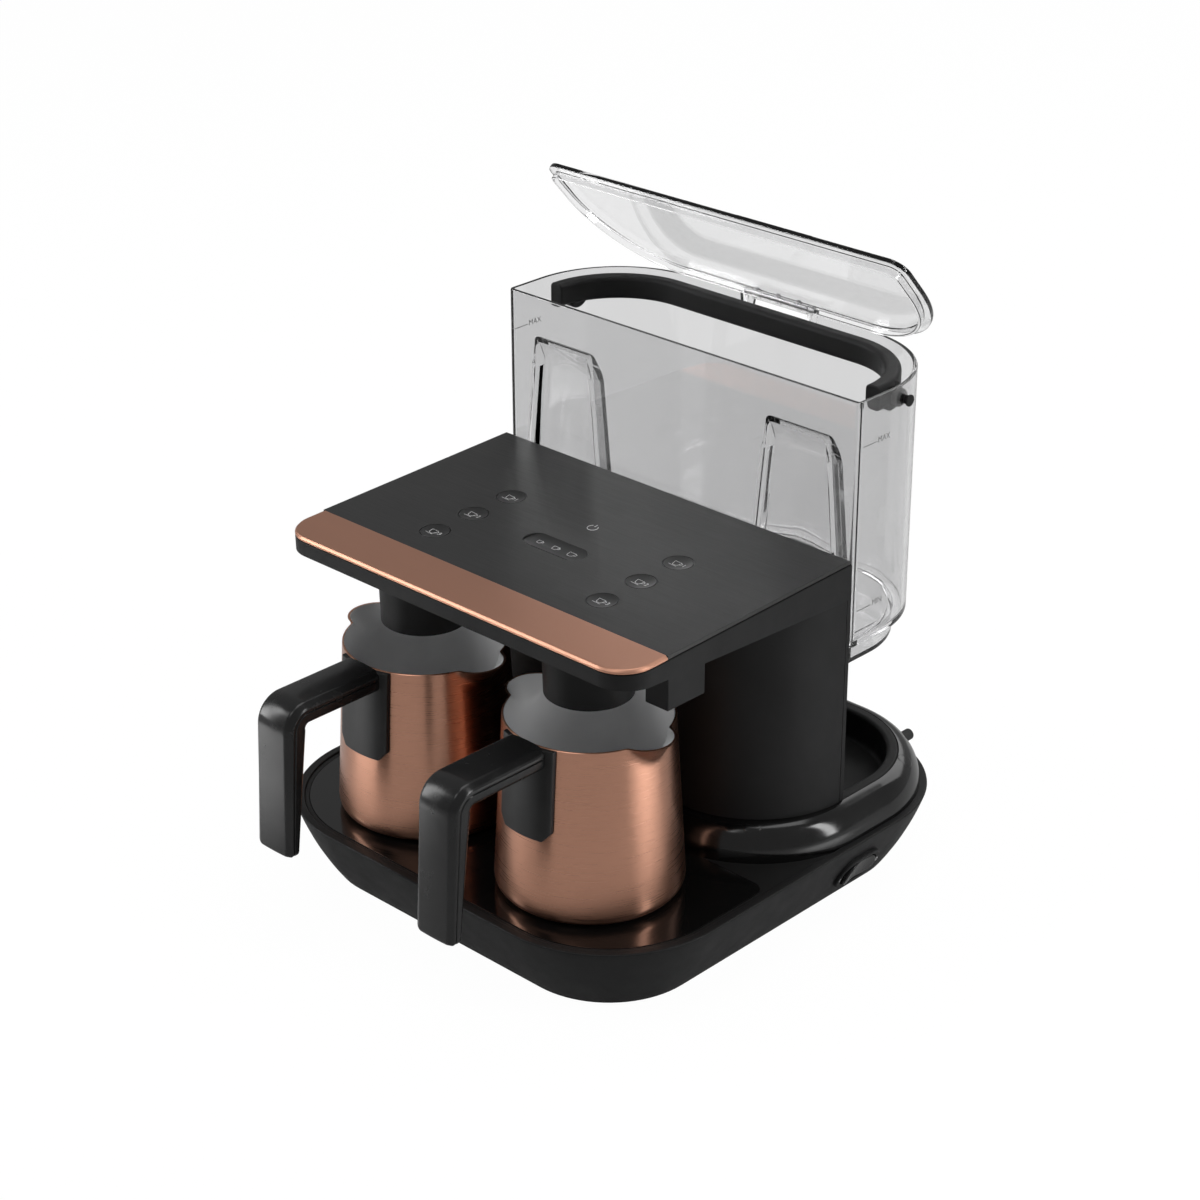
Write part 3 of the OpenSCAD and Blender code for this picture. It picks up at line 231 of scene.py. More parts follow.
def follow(bm, face, points):
    """Carries a face along a section: points are (inward, height) from the first one on."""
    for (i0, z0), (i1, z1) in zip(points, points[1:]):
        face = step(bm, face, i1 - i0, z1 - z0)
    return face


def bend(cx, cy, radius, a0, a1, steps=5):
    """Points of an arc in a section, angles in degrees."""
    turns = [math.radians(a0 + (a1 - a0) * k / steps) for k in range(steps + 1)]
    return [(cx + radius * math.cos(t), cy + radius * math.sin(t)) for t in turns]


def close_up(bm, face):
    """Takes the last cap away and joins a ring-shaped body to its own start."""
    bmesh.ops.delete(bm, geom=[face], context="FACES_ONLY")
    bmesh.ops.remove_doubles(bm, verts=bm.verts[:], dist=0.004 * MM)
    bmesh.ops.recalc_face_normals(bm, faces=bm.faces[:])


def cap(bm):
    """Closes the openings that an extruded or cut shape leaves behind."""
    bmesh.ops.holes_fill(bm, edges=[e for e in bm.edges if e.is_boundary], sides=0)
    bmesh.ops.recalc_face_normals(bm, faces=bm.faces[:])


def lathe(bm, points, steps, matrix=Matrix()):
    """Turns a section of (radius, height) points about an upright axis."""
    before = set(bm.verts)
    verts = [bm.verts.new((r, 0, z)) for r, z in points]
    edges = [bm.edges.new(pair) for pair in zip(verts, verts[1:])]
    bmesh.ops.spin(
        bm, geom=verts + edges, cent=(0, 0, 0), axis=(0, 0, 1), dvec=(0, 0, 0),
        angle=2 * math.pi, steps=steps, use_merge=True, use_duplicate=False,
    )
    bmesh.ops.remove_doubles(bm, verts=[v for v in bm.verts if v not in before], dist=0.004 * MM)
    fresh = [v for v in bm.verts if v not in before]
    bmesh.ops.recalc_face_normals(bm, faces=list(dict.fromkeys(f for v in fresh for f in v.link_faces)))
    bmesh.ops.transform(bm, matrix=matrix, verts=fresh)


def outline(bm, half, y0, y1, rf, rb, z, steps=(6, 28), keep=False):
    """A flat outline with round corners; its face stays only where it closes the shape."""
    before = set(bm.faces)
    for radius, corners, segments in zip((rf, rb), rectangle(bm, half, y0, y1, z), steps):
        rounded(bm, corners, radius, segments)
    face = next(f for f in bm.faces if f not in before)
    edges = face.edges[:]
    if not keep:
        bmesh.ops.delete(bm, geom=[face], context="FACES_ONLY")
    return edges


def stack(bm, outlines, closed=False, steps=(6, 28)):
    """Joins outlines one after another; the first and last close the skin, or meet.

    They are bridged wide apart, so that no bridge is twisted, and then set to their heights.
    """
    last = len(outlines) - 1
    rings = [
        outline(bm, *o[:-1], 100 * MM * k, steps=steps, keep=not closed and k in (0, last))
        for k, o in enumerate(outlines)
    ]
    levels = [({v for e in ring for v in e.verts}, o[-1]) for ring, o in zip(rings, outlines)]
    if closed:
        rings.append(rings[0])
    made = [bmesh.ops.bridge_loops(bm, edges=a + b)["faces"] for a, b in zip(rings, rings[1:])]
    for verts, z in levels:
        for v in verts:
            v.co.z = z
    outward(bm)
    return made


def outward(bm):
    """Turns all faces of a closed skin outwards."""
    bmesh.ops.recalc_face_normals(bm, faces=bm.faces[:])
    if bm.calc_volume(signed=True) < 0:
        bmesh.ops.reverse_faces(bm, faces=bm.faces[:])


def parts_of(faces):
    """Faces with their edges and corners, as the cutting operators want them."""
    edges = dict.fromkeys(e for f in faces for e in f.edges)
    return [*faces, *edges, *dict.fromkeys(v for f in faces for v in f.verts)]


def sweep(bm, face, places):
    """Carries a section along from one place to the next; each place is a matrix."""
    bmesh.ops.transform(bm, matrix=places[0], verts=face.verts)
    for before, after in zip(places, places[1:]):
        made = bmesh.ops.extrude_face_region(bm, geom=parts_of([face]))["geom"]
        face = next(g for g in made if isinstance(g, bmesh.types.BMFace))
        bmesh.ops.transform(bm, matrix=after @ before.inverted(), verts=face.verts)
    outward(bm)


def soften(bm, width, segments=3, limit=35):
    """Rounds the edges that are sharper than a limit."""
    sharp = [
        e for e in bm.edges
        if len(e.link_faces) == 2 and e.calc_face_angle(0) > math.radians(limit)
    ]
    if sharp:
        rounded(bm, sharp, width, segments, "EDGES", True)


def block(bm, low, high):
    verts = bmesh.ops.create_cube(bm, size=1)["verts"]
    bmesh.ops.scale(bm, verts=verts, vec=[b - a for a, b in zip(low, high)])
    bmesh.ops.translate(bm, verts=verts, vec=[(a + b) / 2 for a, b in zip(low, high)])


def place(bm, matrix):
    bmesh.ops.transform(bm, matrix=matrix, verts=bm.verts[:])


def piece(name, bm, body, slot, *finishes, stands_for=()):
    """Makes an object of a mesh and lets it ride on a body; its finish is its slot's, or those named."""
    mesh = bpy.data.meshes.new(name)
    bm.to_mesh(mesh)
    bm.free()
    return dress(name, mesh, body, slot, *finishes, stands_for=stands_for)


def add(name, data):
    obj = bpy.data.objects.new(name, data)
    bpy.context.scene.collection.objects.link(obj)
    return obj


def dress(name, mesh, body, slot, *finishes, stands_for=(), weighted=True):
    mesh.polygons.foreach_set("use_smooth", [True] * len(mesh.polygons))
    mesh.set_sharp_from_angle(angle=math.radians(38))
    for finish in finishes or (slot,):
        mesh.materials.append(look(finish))
    obj = add(name, mesh)
    if weighted:
        normals = obj.modifiers.new("Weighted normals", "WEIGHTED_NORMAL")
        normals.keep_sharp = True
        normals.weight = 80
    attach(obj, body)
    if stands_for:
        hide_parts(*stands_for)
    return obj


def from_cad(name, node, body, slot, *finishes, round_to, segments=2):
    """A copy of a CAD node with its edges rounded, which stands for the node."""
    bm = bmesh.new()
    bm.from_mesh(frame["nodes"][node].data)
    bmesh.ops.remove_doubles(bm, verts=bm.verts[:], dist=0.002 * MM)
    bmesh.ops.dissolve_limit(
        bm, angle_limit=math.radians(0.5), verts=bm.verts[:], edges=bm.edges[:], use_dissolve_boundaries=False
    )
    soften(bm, round_to, segments)
    return piece(name, bm, body, slot, *finishes, stands_for=(node,))


def wires(name, lines, thickness, matrix, body, slot, finish):
    """Thin printed lines: each one a list of points, closed where it ends as it starts."""
    curve = bpy.data.curves.new(name, "CURVE")
    curve.dimensions = "3D"
    curve.bevel_depth = thickness
    curve.bevel_resolution = 1
    for line in lines:
        closed = (Vector(line[0]) - Vector(line[-1])).length < 1e-7
        points = line[:-1] if closed else line
        spline = curve.splines.new("POLY")
        spline.points.add(len(points) - 1)
        for point, place_at in zip(spline.points, points):
            point.co = (*place_at, 1)
        spline.use_cyclic_u = closed
    return flatten(name, curve, matrix, body, slot, finish)


def lettering(name, words, size, matrix, body, slot, finish, depth):
    curve = bpy.data.curves.new(name, "FONT")
    curve.body = words
    curve.size = size
    curve.extrude = depth
    curve.align_x = "CENTER"
    curve.align_y = "CENTER"
    return flatten(name, curve, matrix, body, slot, finish)


def flatten(name, curve, matrix, body, slot, finish):
    """Turns a curve or words into a mesh and sets it in its place."""
    holder = add(name + "_curve", curve)
    bpy.context.view_layer.update()
    mesh = bpy.data.meshes.new_from_object(holder.evaluated_get(bpy.context.evaluated_depsgraph_get()))
    bpy.data.objects.remove(holder)
    mesh.transform(matrix)
    mesh.materials.clear()
    return dress(name, mesh, body, slot, finish, weighted=False)


# ---------------------------------------------------------------- finishes


def node(tree, kind, **inputs):
    """Adds a node; its inputs are given values, or linked to other nodes' outputs."""
    made = tree.nodes.new("ShaderNode" + kind)
    for name, value in inputs.items():
        feed(tree, made.inputs[name.replace("_", " ")], value)
    return made


def maths(tree, how, *values, clamp=False):
    made = tree.nodes.new("ShaderNodeMath")
    made.operation = how
    made.use_clamp = clamp
    for socket, value in zip(made.inputs, values):
        feed(tree, socket, value)
    return made.outputs[0]


def feed(tree, socket, value):
    if isinstance(value, bpy.types.NodeSocket):
        tree.links.new(value, socket)
    else:
        socket.default_value = value


def mixed(tree, share, first, second, output):
    """Mixes two shaders into what an output node shows."""
    mix = tree.nodes.new("ShaderNodeMixShader")
    for socket, value in zip(mix.inputs, (share, first.outputs[0], second.outputs[0])):
        tree.links.new(value, socket)
    tree.links.new(mix.outputs[0], tree.nodes[output].inputs["Surface"])


class Finish:
    """A node material, put together one node at a time."""

    def __init__(self, name, **values):
        self.material = bpy.data.materials.new(name)
        self.material.use_nodes = True
        self.tree = self.material.node_tree
        self.shader = self.tree.nodes["Principled BSDF"]
        self.coords = self.tree.nodes.new("ShaderNodeTexCoord").outputs["Object"]
        for key, value in values.items():
            self.shader.inputs[key.replace("_", " ")].default_value = value

    def noise(self, scale, detail=2.0, rough=0.5, stretch=None):
        vector = node(self.tree, "Mapping", Scale=stretch, Vector=self.coords).outputs[0] if stretch else self.coords
        return node(self.tree, "TexNoise", Scale=scale, Detail=detail, Roughness=rough, Vector=vector).outputs["Fac"]

    def blend(self, a, part_a, b, part_b=None):
        """Adds two patterns, each by its part."""
        a = maths(self.tree, "MULTIPLY", a, part_a)
        b = maths(self.tree, "MULTIPLY", b, part_b) if part_b else b
        return maths(self.tree, "ADD", a, b)

    def shade(self, pattern, colour_value, spread, low=0.3, high=0.7):
        """Lets the colour go from darker to lighter with a pattern."""
        made = self.tree.nodes.new("ShaderNodeValToRGB")
        for element, at, k in zip(made.color_ramp.elements, (low, high), (1 - spread, 1 + spread)):
            element.position = at
            element.color = (*(min(1, c * k) for c in colour_value), 1)
        feed(self.tree, made.inputs["Fac"], pattern)
        feed(self.tree, self.shader.inputs["Base Color"], made.outputs["Color"])

    def roughen(self, pattern, smooth, rough, low, high):
        made = node(self.tree, "MapRange", Value=pattern, From_Min=low, From_Max=high, To_Min=smooth, To_Max=rough)
        feed(self.tree, self.shader.inputs["Roughness"], made.outputs["Result"])

    def bump(self, height, strength, distance):
        made = node(self.tree, "Bump", Strength=strength, Distance=distance, Height=height)
        feed(self.tree, self.shader.inputs["Normal"], made.outputs["Normal"])
        return self.material


def moulded(name, colour_value, rough, grain=0.25, cell=1400, spread=0.12, specular=0.5, metal=0.0):
    """Plastic or cast metal with the fine grain of a spark-etched mould."""
    made = Finish(name, Specular_IOR_Level=specular, IOR=1.5, Metallic=metal)
    made.shade(made.noise(34, 3), colour_value, spread)
    fine = made.noise(cell, 3, 0.6)
    made.roughen(made.blend(fine, 0.35, made.noise(90, 4, 0.6)), rough - 0.06, rough + 0.08, 0.3, 1.0)
    return made.bump(fine, grain, 0.05 * MM)


def polished(name, colour_value, rough, specular=0.5):
    """Polished plastic with faint sink marks and handling marks."""
    made = Finish(name, Specular_IOR_Level=specular, IOR=1.5)
    made.shade(made.noise(22, 2), colour_value, 0.25)
    made.roughen(made.noise(60, 5, 0.65), rough * 0.7, rough * 1.6, 0.3, 0.75)
    return made.bump(made.noise(45, 2), 0.04, 0.2 * MM)


def brushed(name, colour_value, rough, along, metal=1.0, strength=0.25, spread=0.25, sparkle=0.12):
    """Metal brushed along one axis."""
    made = Finish(name, Metallic=metal, Specular_IOR_Level=0.5)
    streak = made.noise(6, 8, 0.75, [6 if axis == along else 260 for axis in "xyz"])
    made.shade(made.blend(streak, 0.75, made.noise(26, 3), 0.25), colour_value, spread)
    made.roughen(streak, rough - sparkle, rough + sparkle, 0.3, 0.7)
    return made.bump(streak, strength, 0.02 * MM)


def copper_pot(name, colour_value):
    """Satin metal, brushed round the pot, a little darker where it was handled."""
    made = Finish(name, Metallic=1.0, Anisotropic=0.7, Anisotropic_Rotation=0.25)
    streak = made.noise(5, 8, 0.7, (6, 6, 420))
    made.shade(made.blend(streak, 0.5, made.noise(30, 4, 0.55), 0.5), colour_value, 0.035, 0.35, 0.65)
    made.roughen(streak, 0.26, 0.31, 0.3, 0.7)
    return made.bump(streak, 0.02, 0.01 * MM)


def clear(name, tint):
    """Clear moulded plastic with faint flow marks."""
    made = Finish(name, Transmission_Weight=1.0, IOR=1.47, Base_Color=(*tint, 1), Specular_IOR_Level=0.5)
    flow = made.noise(14, 3, 0.5, (1, 1, 3))
    made.roughen(flow, 0.0, 0.035, 0.35, 0.8)
    return made.bump(flow, 0.05, 0.25 * MM)


def make_finishes(colours):
    return {
        "matte_black": moulded("matte_black", colours.matte, 0.5, specular=0.17),
        "key_black": moulded("key_black", colours.matte, 0.36, grain=0.12, specular=0.35),
        "satin": polished("satin_black", colours.matte, 0.2, 0.34),
        "gloss_black": polished("gloss_black", colours.gloss, 0.13),
        "plate_glass": polished("hotplate_glass", colours.gloss, 0.1),
        "dark_panel": brushed("dark_panel", colours.panel, 0.4, "x", metal=0.6),
        "copper": brushed("copper_trim", colours.copper, 0.4, "x", strength=0.06, spread=0.03, sparkle=0.05),
        "pot": copper_pot("copper_pot", colours.copper),
        # painted light: the inside coating is made light in colour to stand in for light inside the pots.
        "coating_and_painted_light": moulded("pot_coating", colours.coating_and_painted_light, 0.5, grain=0.1, spread=0.05),
        "clear": clear("clear_plastic", (0.71, 0.71, 0.713)),
        "lid": clear("clear_lid", (0.86, 0.86, 0.863)),
        "print": moulded("white_print", colours.print, 0.5, grain=0.05, spread=0.04),
        "grey_print": moulded("grey_print", (0.2, 0.2, 0.2), 0.5, grain=0.05, spread=0.04),
        "rubber": moulded("rubber", (0.02, 0.02, 0.02), 0.75, grain=0.5),
        "silicone": moulded("silicone", (0.62, 0.62, 0.58), 0.45),
        "steel": brushed("steel", (0.55, 0.55, 0.56), 0.3, "z", spread=0.1, sparkle=0.05),
        "aluminium": moulded("cast_aluminium", (0.5, 0.5, 0.5), 0.5, grain=0.8, cell=700, metal=1.0),
        "board_green": moulded("board_green", (0.02, 0.1, 0.04), 0.4),
        "white_plastic": moulded("white_plastic", (0.7, 0.7, 0.67), 0.45),
        "sensor_red": polished("sensor_red", (0.06, 0.004, 0.004), 0.06),
        "ceramic": moulded("ceramic", (0.55, 0.53, 0.48), 0.6),
    }


FINISHES = {}


def look(name):
    if not FINISHES:
        FINISHES.update(make_finishes(bpy.context.scene.maker_finishes))
    return FINISHES[name]


# ---------------------------------------------------------------- base


class BuildBase(bpy.types.Operator):
    """Build the tapering base shell and the glass hotplate"""

    bl_idname = "coffee_maker.build_base"
    bl_label = "Base"

    def execute(self, context):
        s = context.scene.maker_base
        low, r = mm(2.5, 0.9)
        rise, steps = s.rim - r - low, 16
        outer = []
        for k in range(steps + 1):
            t = k / steps
            swell = t * (1 - t) * s.bulge
            outer.append((s.tuck * (1 - t) - 3.6 * swell, low + rise * t - 1.75 * swell))
        rim = bend(r, s.rim - r, r, 180, 90, 4)[1:] + bend(3.6 * MM, s.rim - r, r, 90, 0, 4)
        inner = [(p + s.wall, z) for p, z in reversed(outer[:12])]
        section = [*outer, *rim, *mm((4.5, 36), (9.5, 34)), *inner, outer[0]]
        bm = bmesh.new()
        i0, z0 = section[0]
        face = plan(bm, s.half - i0, s.front + i0, s.back - i0, s.corner - i0, s.corner - i0, z0)
        close_up(bm, follow(bm, face, section))
        piece("base_bowl", bm, "machine", "matte_black", stands_for=("base_shell",))

        b = s.plate_border
        bm = bmesh.new()
        face = plan(bm, s.half - b, s.front + b, s.plate_back, s.corner - b, 8 * MM, 37 * MM)
        follow(bm, face, mm((0, 37), (0, 39.7), (0.15, 40.05), (0.5, 40.2)))
        cap(bm)
        piece("hotplate_glass", bm, "machine", "plate_glass", stands_for=("hotplate",))
        return {"FINISHED"}


class BuildRing(bpy.types.Operator):
    """Build the glossy ring round the column and the tank's well"""

    bl_idname = "coffee_maker.build_ring"
    bl_label = "Ring and well"

    def execute(self, context):
        s = context.scene.maker_body
        out, rise = s.ring_out, s.ring_top - s.deck
        wall, edge, steps = 2.5 * MM, -0.3 * MM, 16
        angles = [math.pi / 2 * k / steps for k in range(steps + 1)]
        crown = [(min(-out * math.cos(t), edge), s.deck + rise * math.sin(t)) for t in angles]
        inner = [(min(i + wall, edge), max(s.deck, z - wall)) for i, z in reversed(crown)]
        section = crown + inner[1:] + [crown[0]]
        bm = bmesh.new()
        i0, z0 = section[0]
        face = plan(bm, s.half - i0, s.column_front + i0, s.back - i0, s.corner - i0, s.corner - i0, z0, 28)
        close_up(bm, follow(bm, face, section))
        piece("glossy_ring", bm, "machine", "gloss_black", stands_for=("pedestal_dome",))

        section = [(0, s.deck)]
        for centre, level, radius, a0, a1, steps in (
            (1.2, 57.2, 1.2, 180, 90, 4), (4, 56.4, 2, 90, 0, 5), (9, 45, 3, 180, 270, 5),
        ):
            section += bend(*mm(centre, level, radius), a0, a1, steps)
        bm = bmesh.new()
        stack(bm, [
            (s.half - i, s.column_back + 0.6 * i, s.back - i, max(1 * MM - 0.1 * i, 0.4 * MM), s.corner - i, z)
            for i, z in section
        ], steps=(3, 36))
        piece("well", bm, "machine", "matte_black", stands_for=("tank_well",))
        return {"FINISHED"}


class BuildHead(bpy.types.Operator):
    """Build the column, the head and the copper trim"""

    bl_idname = "coffee_maker.build_head"
    bl_label = "Column and head"

    def execute(self, context):
        s, h = context.scene.maker_body, context.scene.maker_head
        bm = bmesh.new()
        face = plan(bm, s.half, s.column_front, s.column_back - 2.6 * MM, s.corner, 0.5 * MM, s.deck, 32)
        follow(bm, face, [(0, s.deck), (0, 175 * MM)])
        cap(bm)
        for v in bm.verts:
            if v.co.z > 0.1:
                v.co.z = self.underside(h, v.co.y) + 1 * MM
        piece("column", bm, "machine", "matte_black", stands_for=("column_shell",))

        seat = head_matrix(h)
        bm = bmesh.new()
        face = plan(bm, s.half, -h.run, s.column_back - h.back, h.corner, 0.6 * MM, -40 * MM)
        follow(bm, face, mm((0, -40), (0, -3.2), (0.3, -2.8), (1.3, -2.7), (1.3, -2)))
        cap(bm)
        for v in bm.verts:
            if v.co.z < -30 * MM:
                share = (v.co.y + h.run) / h.run
                v.co.z = -h.front_depth - (h.back_depth - h.front_depth) * share
        soften(bm, 1.2 * MM, 4, 70)
        place(bm, seat)
        piece("head", bm, "machine", "matte_black", stands_for=("head_shell",))

        bm = bmesh.new()
        back = -h.run + h.trim - 0.1 * MM
        face = plan(bm, s.half, -h.run, back, h.corner, 0.05 * MM, -h.sheet)
        edge = mm((0, -1.35), (0.12, -1.05), (0.9, -0.25), (1.2, -0.06), (1.6, 0))
        follow(bm, face, [(0, -h.sheet), *edge])
        cap(bm)
        for v in bm.verts:
            if v.co.y > back - 3 * MM:
                v.co.y = back
        bmesh.ops.remove_doubles(bm, verts=bm.verts[:], dist=0.004 * MM)
        place(bm, seat)
        piece("copper_strip", bm, "machine", "copper", stands_for=("copper_trim",))
        return {"FINISHED"}

    def underside(self, h, y):
        share = (y - h.back + h.run) / h.run
        depth = h.front_depth + (h.back_depth - h.front_depth) * share
        return h.top + (y - h.back) * math.sin(h.slope) - depth


def head_matrix(h):
    return move(0, h.back, h.top) @ Matrix.Rotation(h.slope, 4, "X")


class BuildKeys(bpy.types.Operator):
    """Build the brushed panel, its keys and their printed signs"""

    bl_idname = "coffee_maker.build_keys"
    bl_label = "Panel and keys"

    def execute(self, context):
        h = context.scene.maker_head
        from_cad("panel_plate", "control_panel", "machine", "dark_panel", round_to=0.25 * MM)
        seat = head_matrix(h)
        radius, dish = h.key / 2, 0.9 * MM
        ball = (radius**2 + dish**2) / (2 * dish)
        first, apart = 54.8 * MM, 26 * MM
        edge, steps = 0.35 * MM, 12
        inner = radius - edge * 0.7
        skirt = radius + 0.9 * MM
        points = [(radius - 2 * MM, -3.4 * MM), (skirt, -3.4 * MM), (skirt, -2.3 * MM), (radius, -2.2 * MM)]
        points += [(radius, -edge), *bend(radius - edge, -edge, edge, 0, 70, 4)[1:]]
        points += [(r, r * r / (2 * ball) - dish) for r in (inner * k / steps for k in range(steps, -1, -1))]
        for side, name in SIDES:
            for row in range(3):
                at = seat @ move(side * h.key_x, -first - apart * row, 0)
                body = f"key_{name}_{row + 1}"
                bm = bmesh.new()
                lathe(bm, points, 96)
                place(bm, at)
                piece(body + "_cap", bm, body, "key_black", stands_for=(body,))
                self.sign(body + "_sign", cup_lines(-1.3 * MM, 4.1 * MM, True), at, body, ball, dish)
                self.number(body + "_number", str(row + 1), at, body, ball, dish)
        from_cad("size_key_cap", "key_size", "key_size", "key_black", round_to=0.3 * MM, segments=3)
        lines = []
        for x, size in mm((-10.5, 3.0), (0, 3.6), (10.5, 4.2)):
            lines += cup_lines(x, size, False)
        self.sign("size_key_sign", lines, seat @ move(0, -80.8 * MM, 0), "key_size", 23.5 * MM, dish, across=True)
        spot = seat @ move(*mm(-0.9, -54, 0.02))
        lines = [drawn_arc(0, 2.7, 2.7, 35, 325, 29), mm((0, 1.2, 0), (0, 3.4, 0))]
        wires("power_sign", lines, 0.16 * MM, spot, "machine", "dark_panel", "print")
        return {"FINISHED"}

    def sign(self, name, lines, matrix, body, ball, dish, across=False):
        obj = wires(name, lines, 0.15 * MM, Matrix.Identity(4), body, "key_black", "print")
        self.drape(obj, matrix, ball, dish, across)

    def number(self, name, words, matrix, body, ball, dish):
        shift = move(3.4 * MM, -0.1 * MM, 0)
        obj = lettering(name, words, 3.6 * MM, shift, body, "key_black", "print", 0.03 * MM)
        self.drape(obj, matrix, ball, dish, False)

    def drape(self, obj, matrix, ball, dish, across):
        """Lays flat lines into the hollow of a key."""
        for v in obj.data.vertices:
            span = v.co.y**2 if across else v.co.x**2 + v.co.y**2
            v.co.z = v.co.z * 0.4 + span / (2 * ball) - dish + 0.05 * MM
        obj.data.transform(matrix)


def cup_lines(x, size, saucer):
    """Outline of a small cup with its handle."""
    cup = [(-1, 1), (1, 1), (0.75, -0.6), (0.45, -1), (-0.45, -1), (-0.75, -0.6), (-1, 1)]
    lines = [cup, [(1.0, 0.7), (1.5, 0.6), (1.4, -0.1), (0.8, -0.3)]]
    if saucer:
        lines.append([(-1.35, -1.5), (0.95, -1.5)])
    return [[(x + size / 2 * u, size * 0.42 * v, 0) for u, v in line] for line in lines]


def drawn_arc(x, wide, tall, a0, a1, steps):
    """Points of an arc in millimetres, clockwise from the top, angles in degrees."""
    turns = [math.radians(a0 + (a1 - a0) * k / steps) for k in range(steps + 1)]
    return mm(*((x + math.sin(t) * wide, math.cos(t) * tall, 0) for t in turns))


class BuildNozzles(bpy.types.Operator):
    """Build the hoods under the head and the sensor blocks beside them"""

    bl_idname = "coffee_maker.build_nozzles"
    bl_label = "Nozzles"

    def execute(self, context):
        for _, name in SIDES:
            for new, node, width in (("hood", "nozzle", 0.8), ("sensor", "sensor_block", 0.6)):
                from_cad(f"{new}_{name}", f"{node}_{name}", "machine", "matte_black", round_to=width * MM, segments=3)
        return {"FINISHED"}


class BuildTank(bpy.types.Operator):
    """Build the clear tank with its guide pockets and level marks"""

    bl_idname = "coffee_maker.build_tank"
    bl_label = "Tank"

    flare = 0.103

    def execute(self, context):
        s, b = context.scene.maker_tank, context.scene.maker_body

        def outer(inset, z, drawn_in=0, near=0):
            rf = max(3 * MM - inset, 0.4 * MM)
            inset += drawn_in
            return b.half - inset, s.front + inset + near, b.back - inset, rf, b.corner - inset, z

        def foot(inset, z):
            return outer(inset, z, s.step, -3.4 * MM)

        def sump(z):
            inset = s.step + s.wall
            near = s.front + s.pocket_deep + s.wall
            return b.half - inset, near, b.back - inset, 0.4 * MM, b.corner - inset, z

        w, lip, low, top = s.wall, s.shoulder, s.foot, s.rim
        bm = bmesh.new()
        made = stack(bm, [
            foot(1.2 * MM, low), foot(0.35 * MM, low + 0.35 * MM), foot(0, low + 1.2 * MM),
            foot(0, lip - 0.5 * MM), foot(-0.5 * MM, lip), outer(1 * MM, lip), outer(0.3 * MM, lip + 0.3 * MM),
            outer(0, lip + 1 * MM), outer(0, top - 0.5 * MM), outer(0.15 * MM, top - 0.15 * MM),
            outer(0.5 * MM, top), outer(w - 0.5 * MM, top), outer(w - 0.15 * MM, top - 0.15 * MM),
            outer(w, top - 0.5 * MM), outer(w, lip + w + 1.5 * MM), outer(w + 0.4 * MM, lip + w + 0.4 * MM),
            outer(w + 1.5 * MM, lip + w), sump(lip + w), sump(low + w),
        ])
        floor = next(f for f in bm.faces if len(f.verts) > 40 and f.calc_center_median().z > low + w / 2)
        for face in (floor, *(f for ring in made[12:] for f in ring)):
            face.material_index = 1  # marks the inner skin until the pockets are in
        for side in (-1, 1):
            self.pocket(bm, s, side * s.pocket_x, 0, 0)
            self.pocket(bm, s, side * s.pocket_x, w, 1)
        self.notch(bm, s)
        self.round_off(bm, s)
        outward(bm)
        for face in bm.faces:
            face.material_index = 0
        piece("tank", bm, "tank", "clear", stands_for=("tank_body",))
        self.ears(s)
        self.marks(b)
        return {"FINISHED"}

    def pocket(self, bm, s, centre, grow, skin):
        """Pushes a tapered field of one skin in; it runs out at the foot's underside."""
        top, half, back = s.pocket_top + grow, s.pocket_half + grow, s.front + s.pocket_deep + grow
        low = s.foot + grow + TINY
        ends = [f for f in bm.faces if skin == 0 and len(f.verts) > 40 and f.calc_center_median().z < low]
        planes = [((centre + side * half, 0, top), (1, 0, side * self.flare)) for side in (-1, 1)]
        planes += [((0, 0, top - drop), (0, 0, 1)) for drop in mm(0, 8.2, 9.7, 11.2, 12.7, 14.2)]
        for point, normal in planes:
            skin_faces = [f for f in bm.faces if f.material_index == skin]
            field = [f for f in skin_faces if max(v.co.y for v in f.verts) < back + TINY or f in ends]
            cut(bm, parts_of(field), point, normal)
        ends = [f for f in bm.faces if skin == 0 and max(v.co.z for v in f.verts) < low]
        cut(bm, parts_of(ends), (0, back, 0), (0, 1, 0))
        inside = []
        for face in bm.faces:
            c = face.calc_center_median()
            reach = half + (top - c.z) * self.flare
            if face.material_index == skin and c.y < back and c.z < top and abs(c.x - centre) < reach:
                inside.append(face)
        made = bmesh.ops.extrude_face_region(bm, geom=parts_of(inside))["geom"]
        level, full = s.front + grow, back - s.front - grow
        shallow, run, ease = mm(2, 12, 3)
        for v in made:
            if isinstance(v, bmesh.types.BMVert):
                deep = min(full, shallow + (top - v.co.z) * (full - shallow) / run)
                deep -= max(0, ease - abs(top - v.co.z - run)) ** 2 / (8 * ease)
                v.co.y = level + deep
        bmesh.ops.remove_doubles(bm, verts=bm.verts[:], dist=TINY)
        bmesh.ops.dissolve_degenerate(bm, edges=bm.edges[:], dist=TINY)
        flat = [e for e in bm.edges if all(abs(v.co.y - level) < TINY for f in e.link_faces for v in f.verts)]
        bmesh.ops.dissolve_edges(bm, edges=flat, use_verts=True)

    def notch(self, bm, s):
        """Steps the rim down behind the lid's hinge."""
        near, low = 110 * MM, s.rim - 1 * MM
        for x in (-24.9, -24.5, 24.5, 24.9):
            rim = [f for f in bm.faces if min(v.co.y for v in f.verts) > near and max(v.co.z for v in f.verts) > low]
            cut(bm, parts_of(rim), (x * MM, 0, 0), (1, 0, 0))
        for v in bm.verts:
            if abs(v.co.x) < 24.6 * MM and v.co.y > near and v.co.z > low:
                v.co.z -= 5 * MM

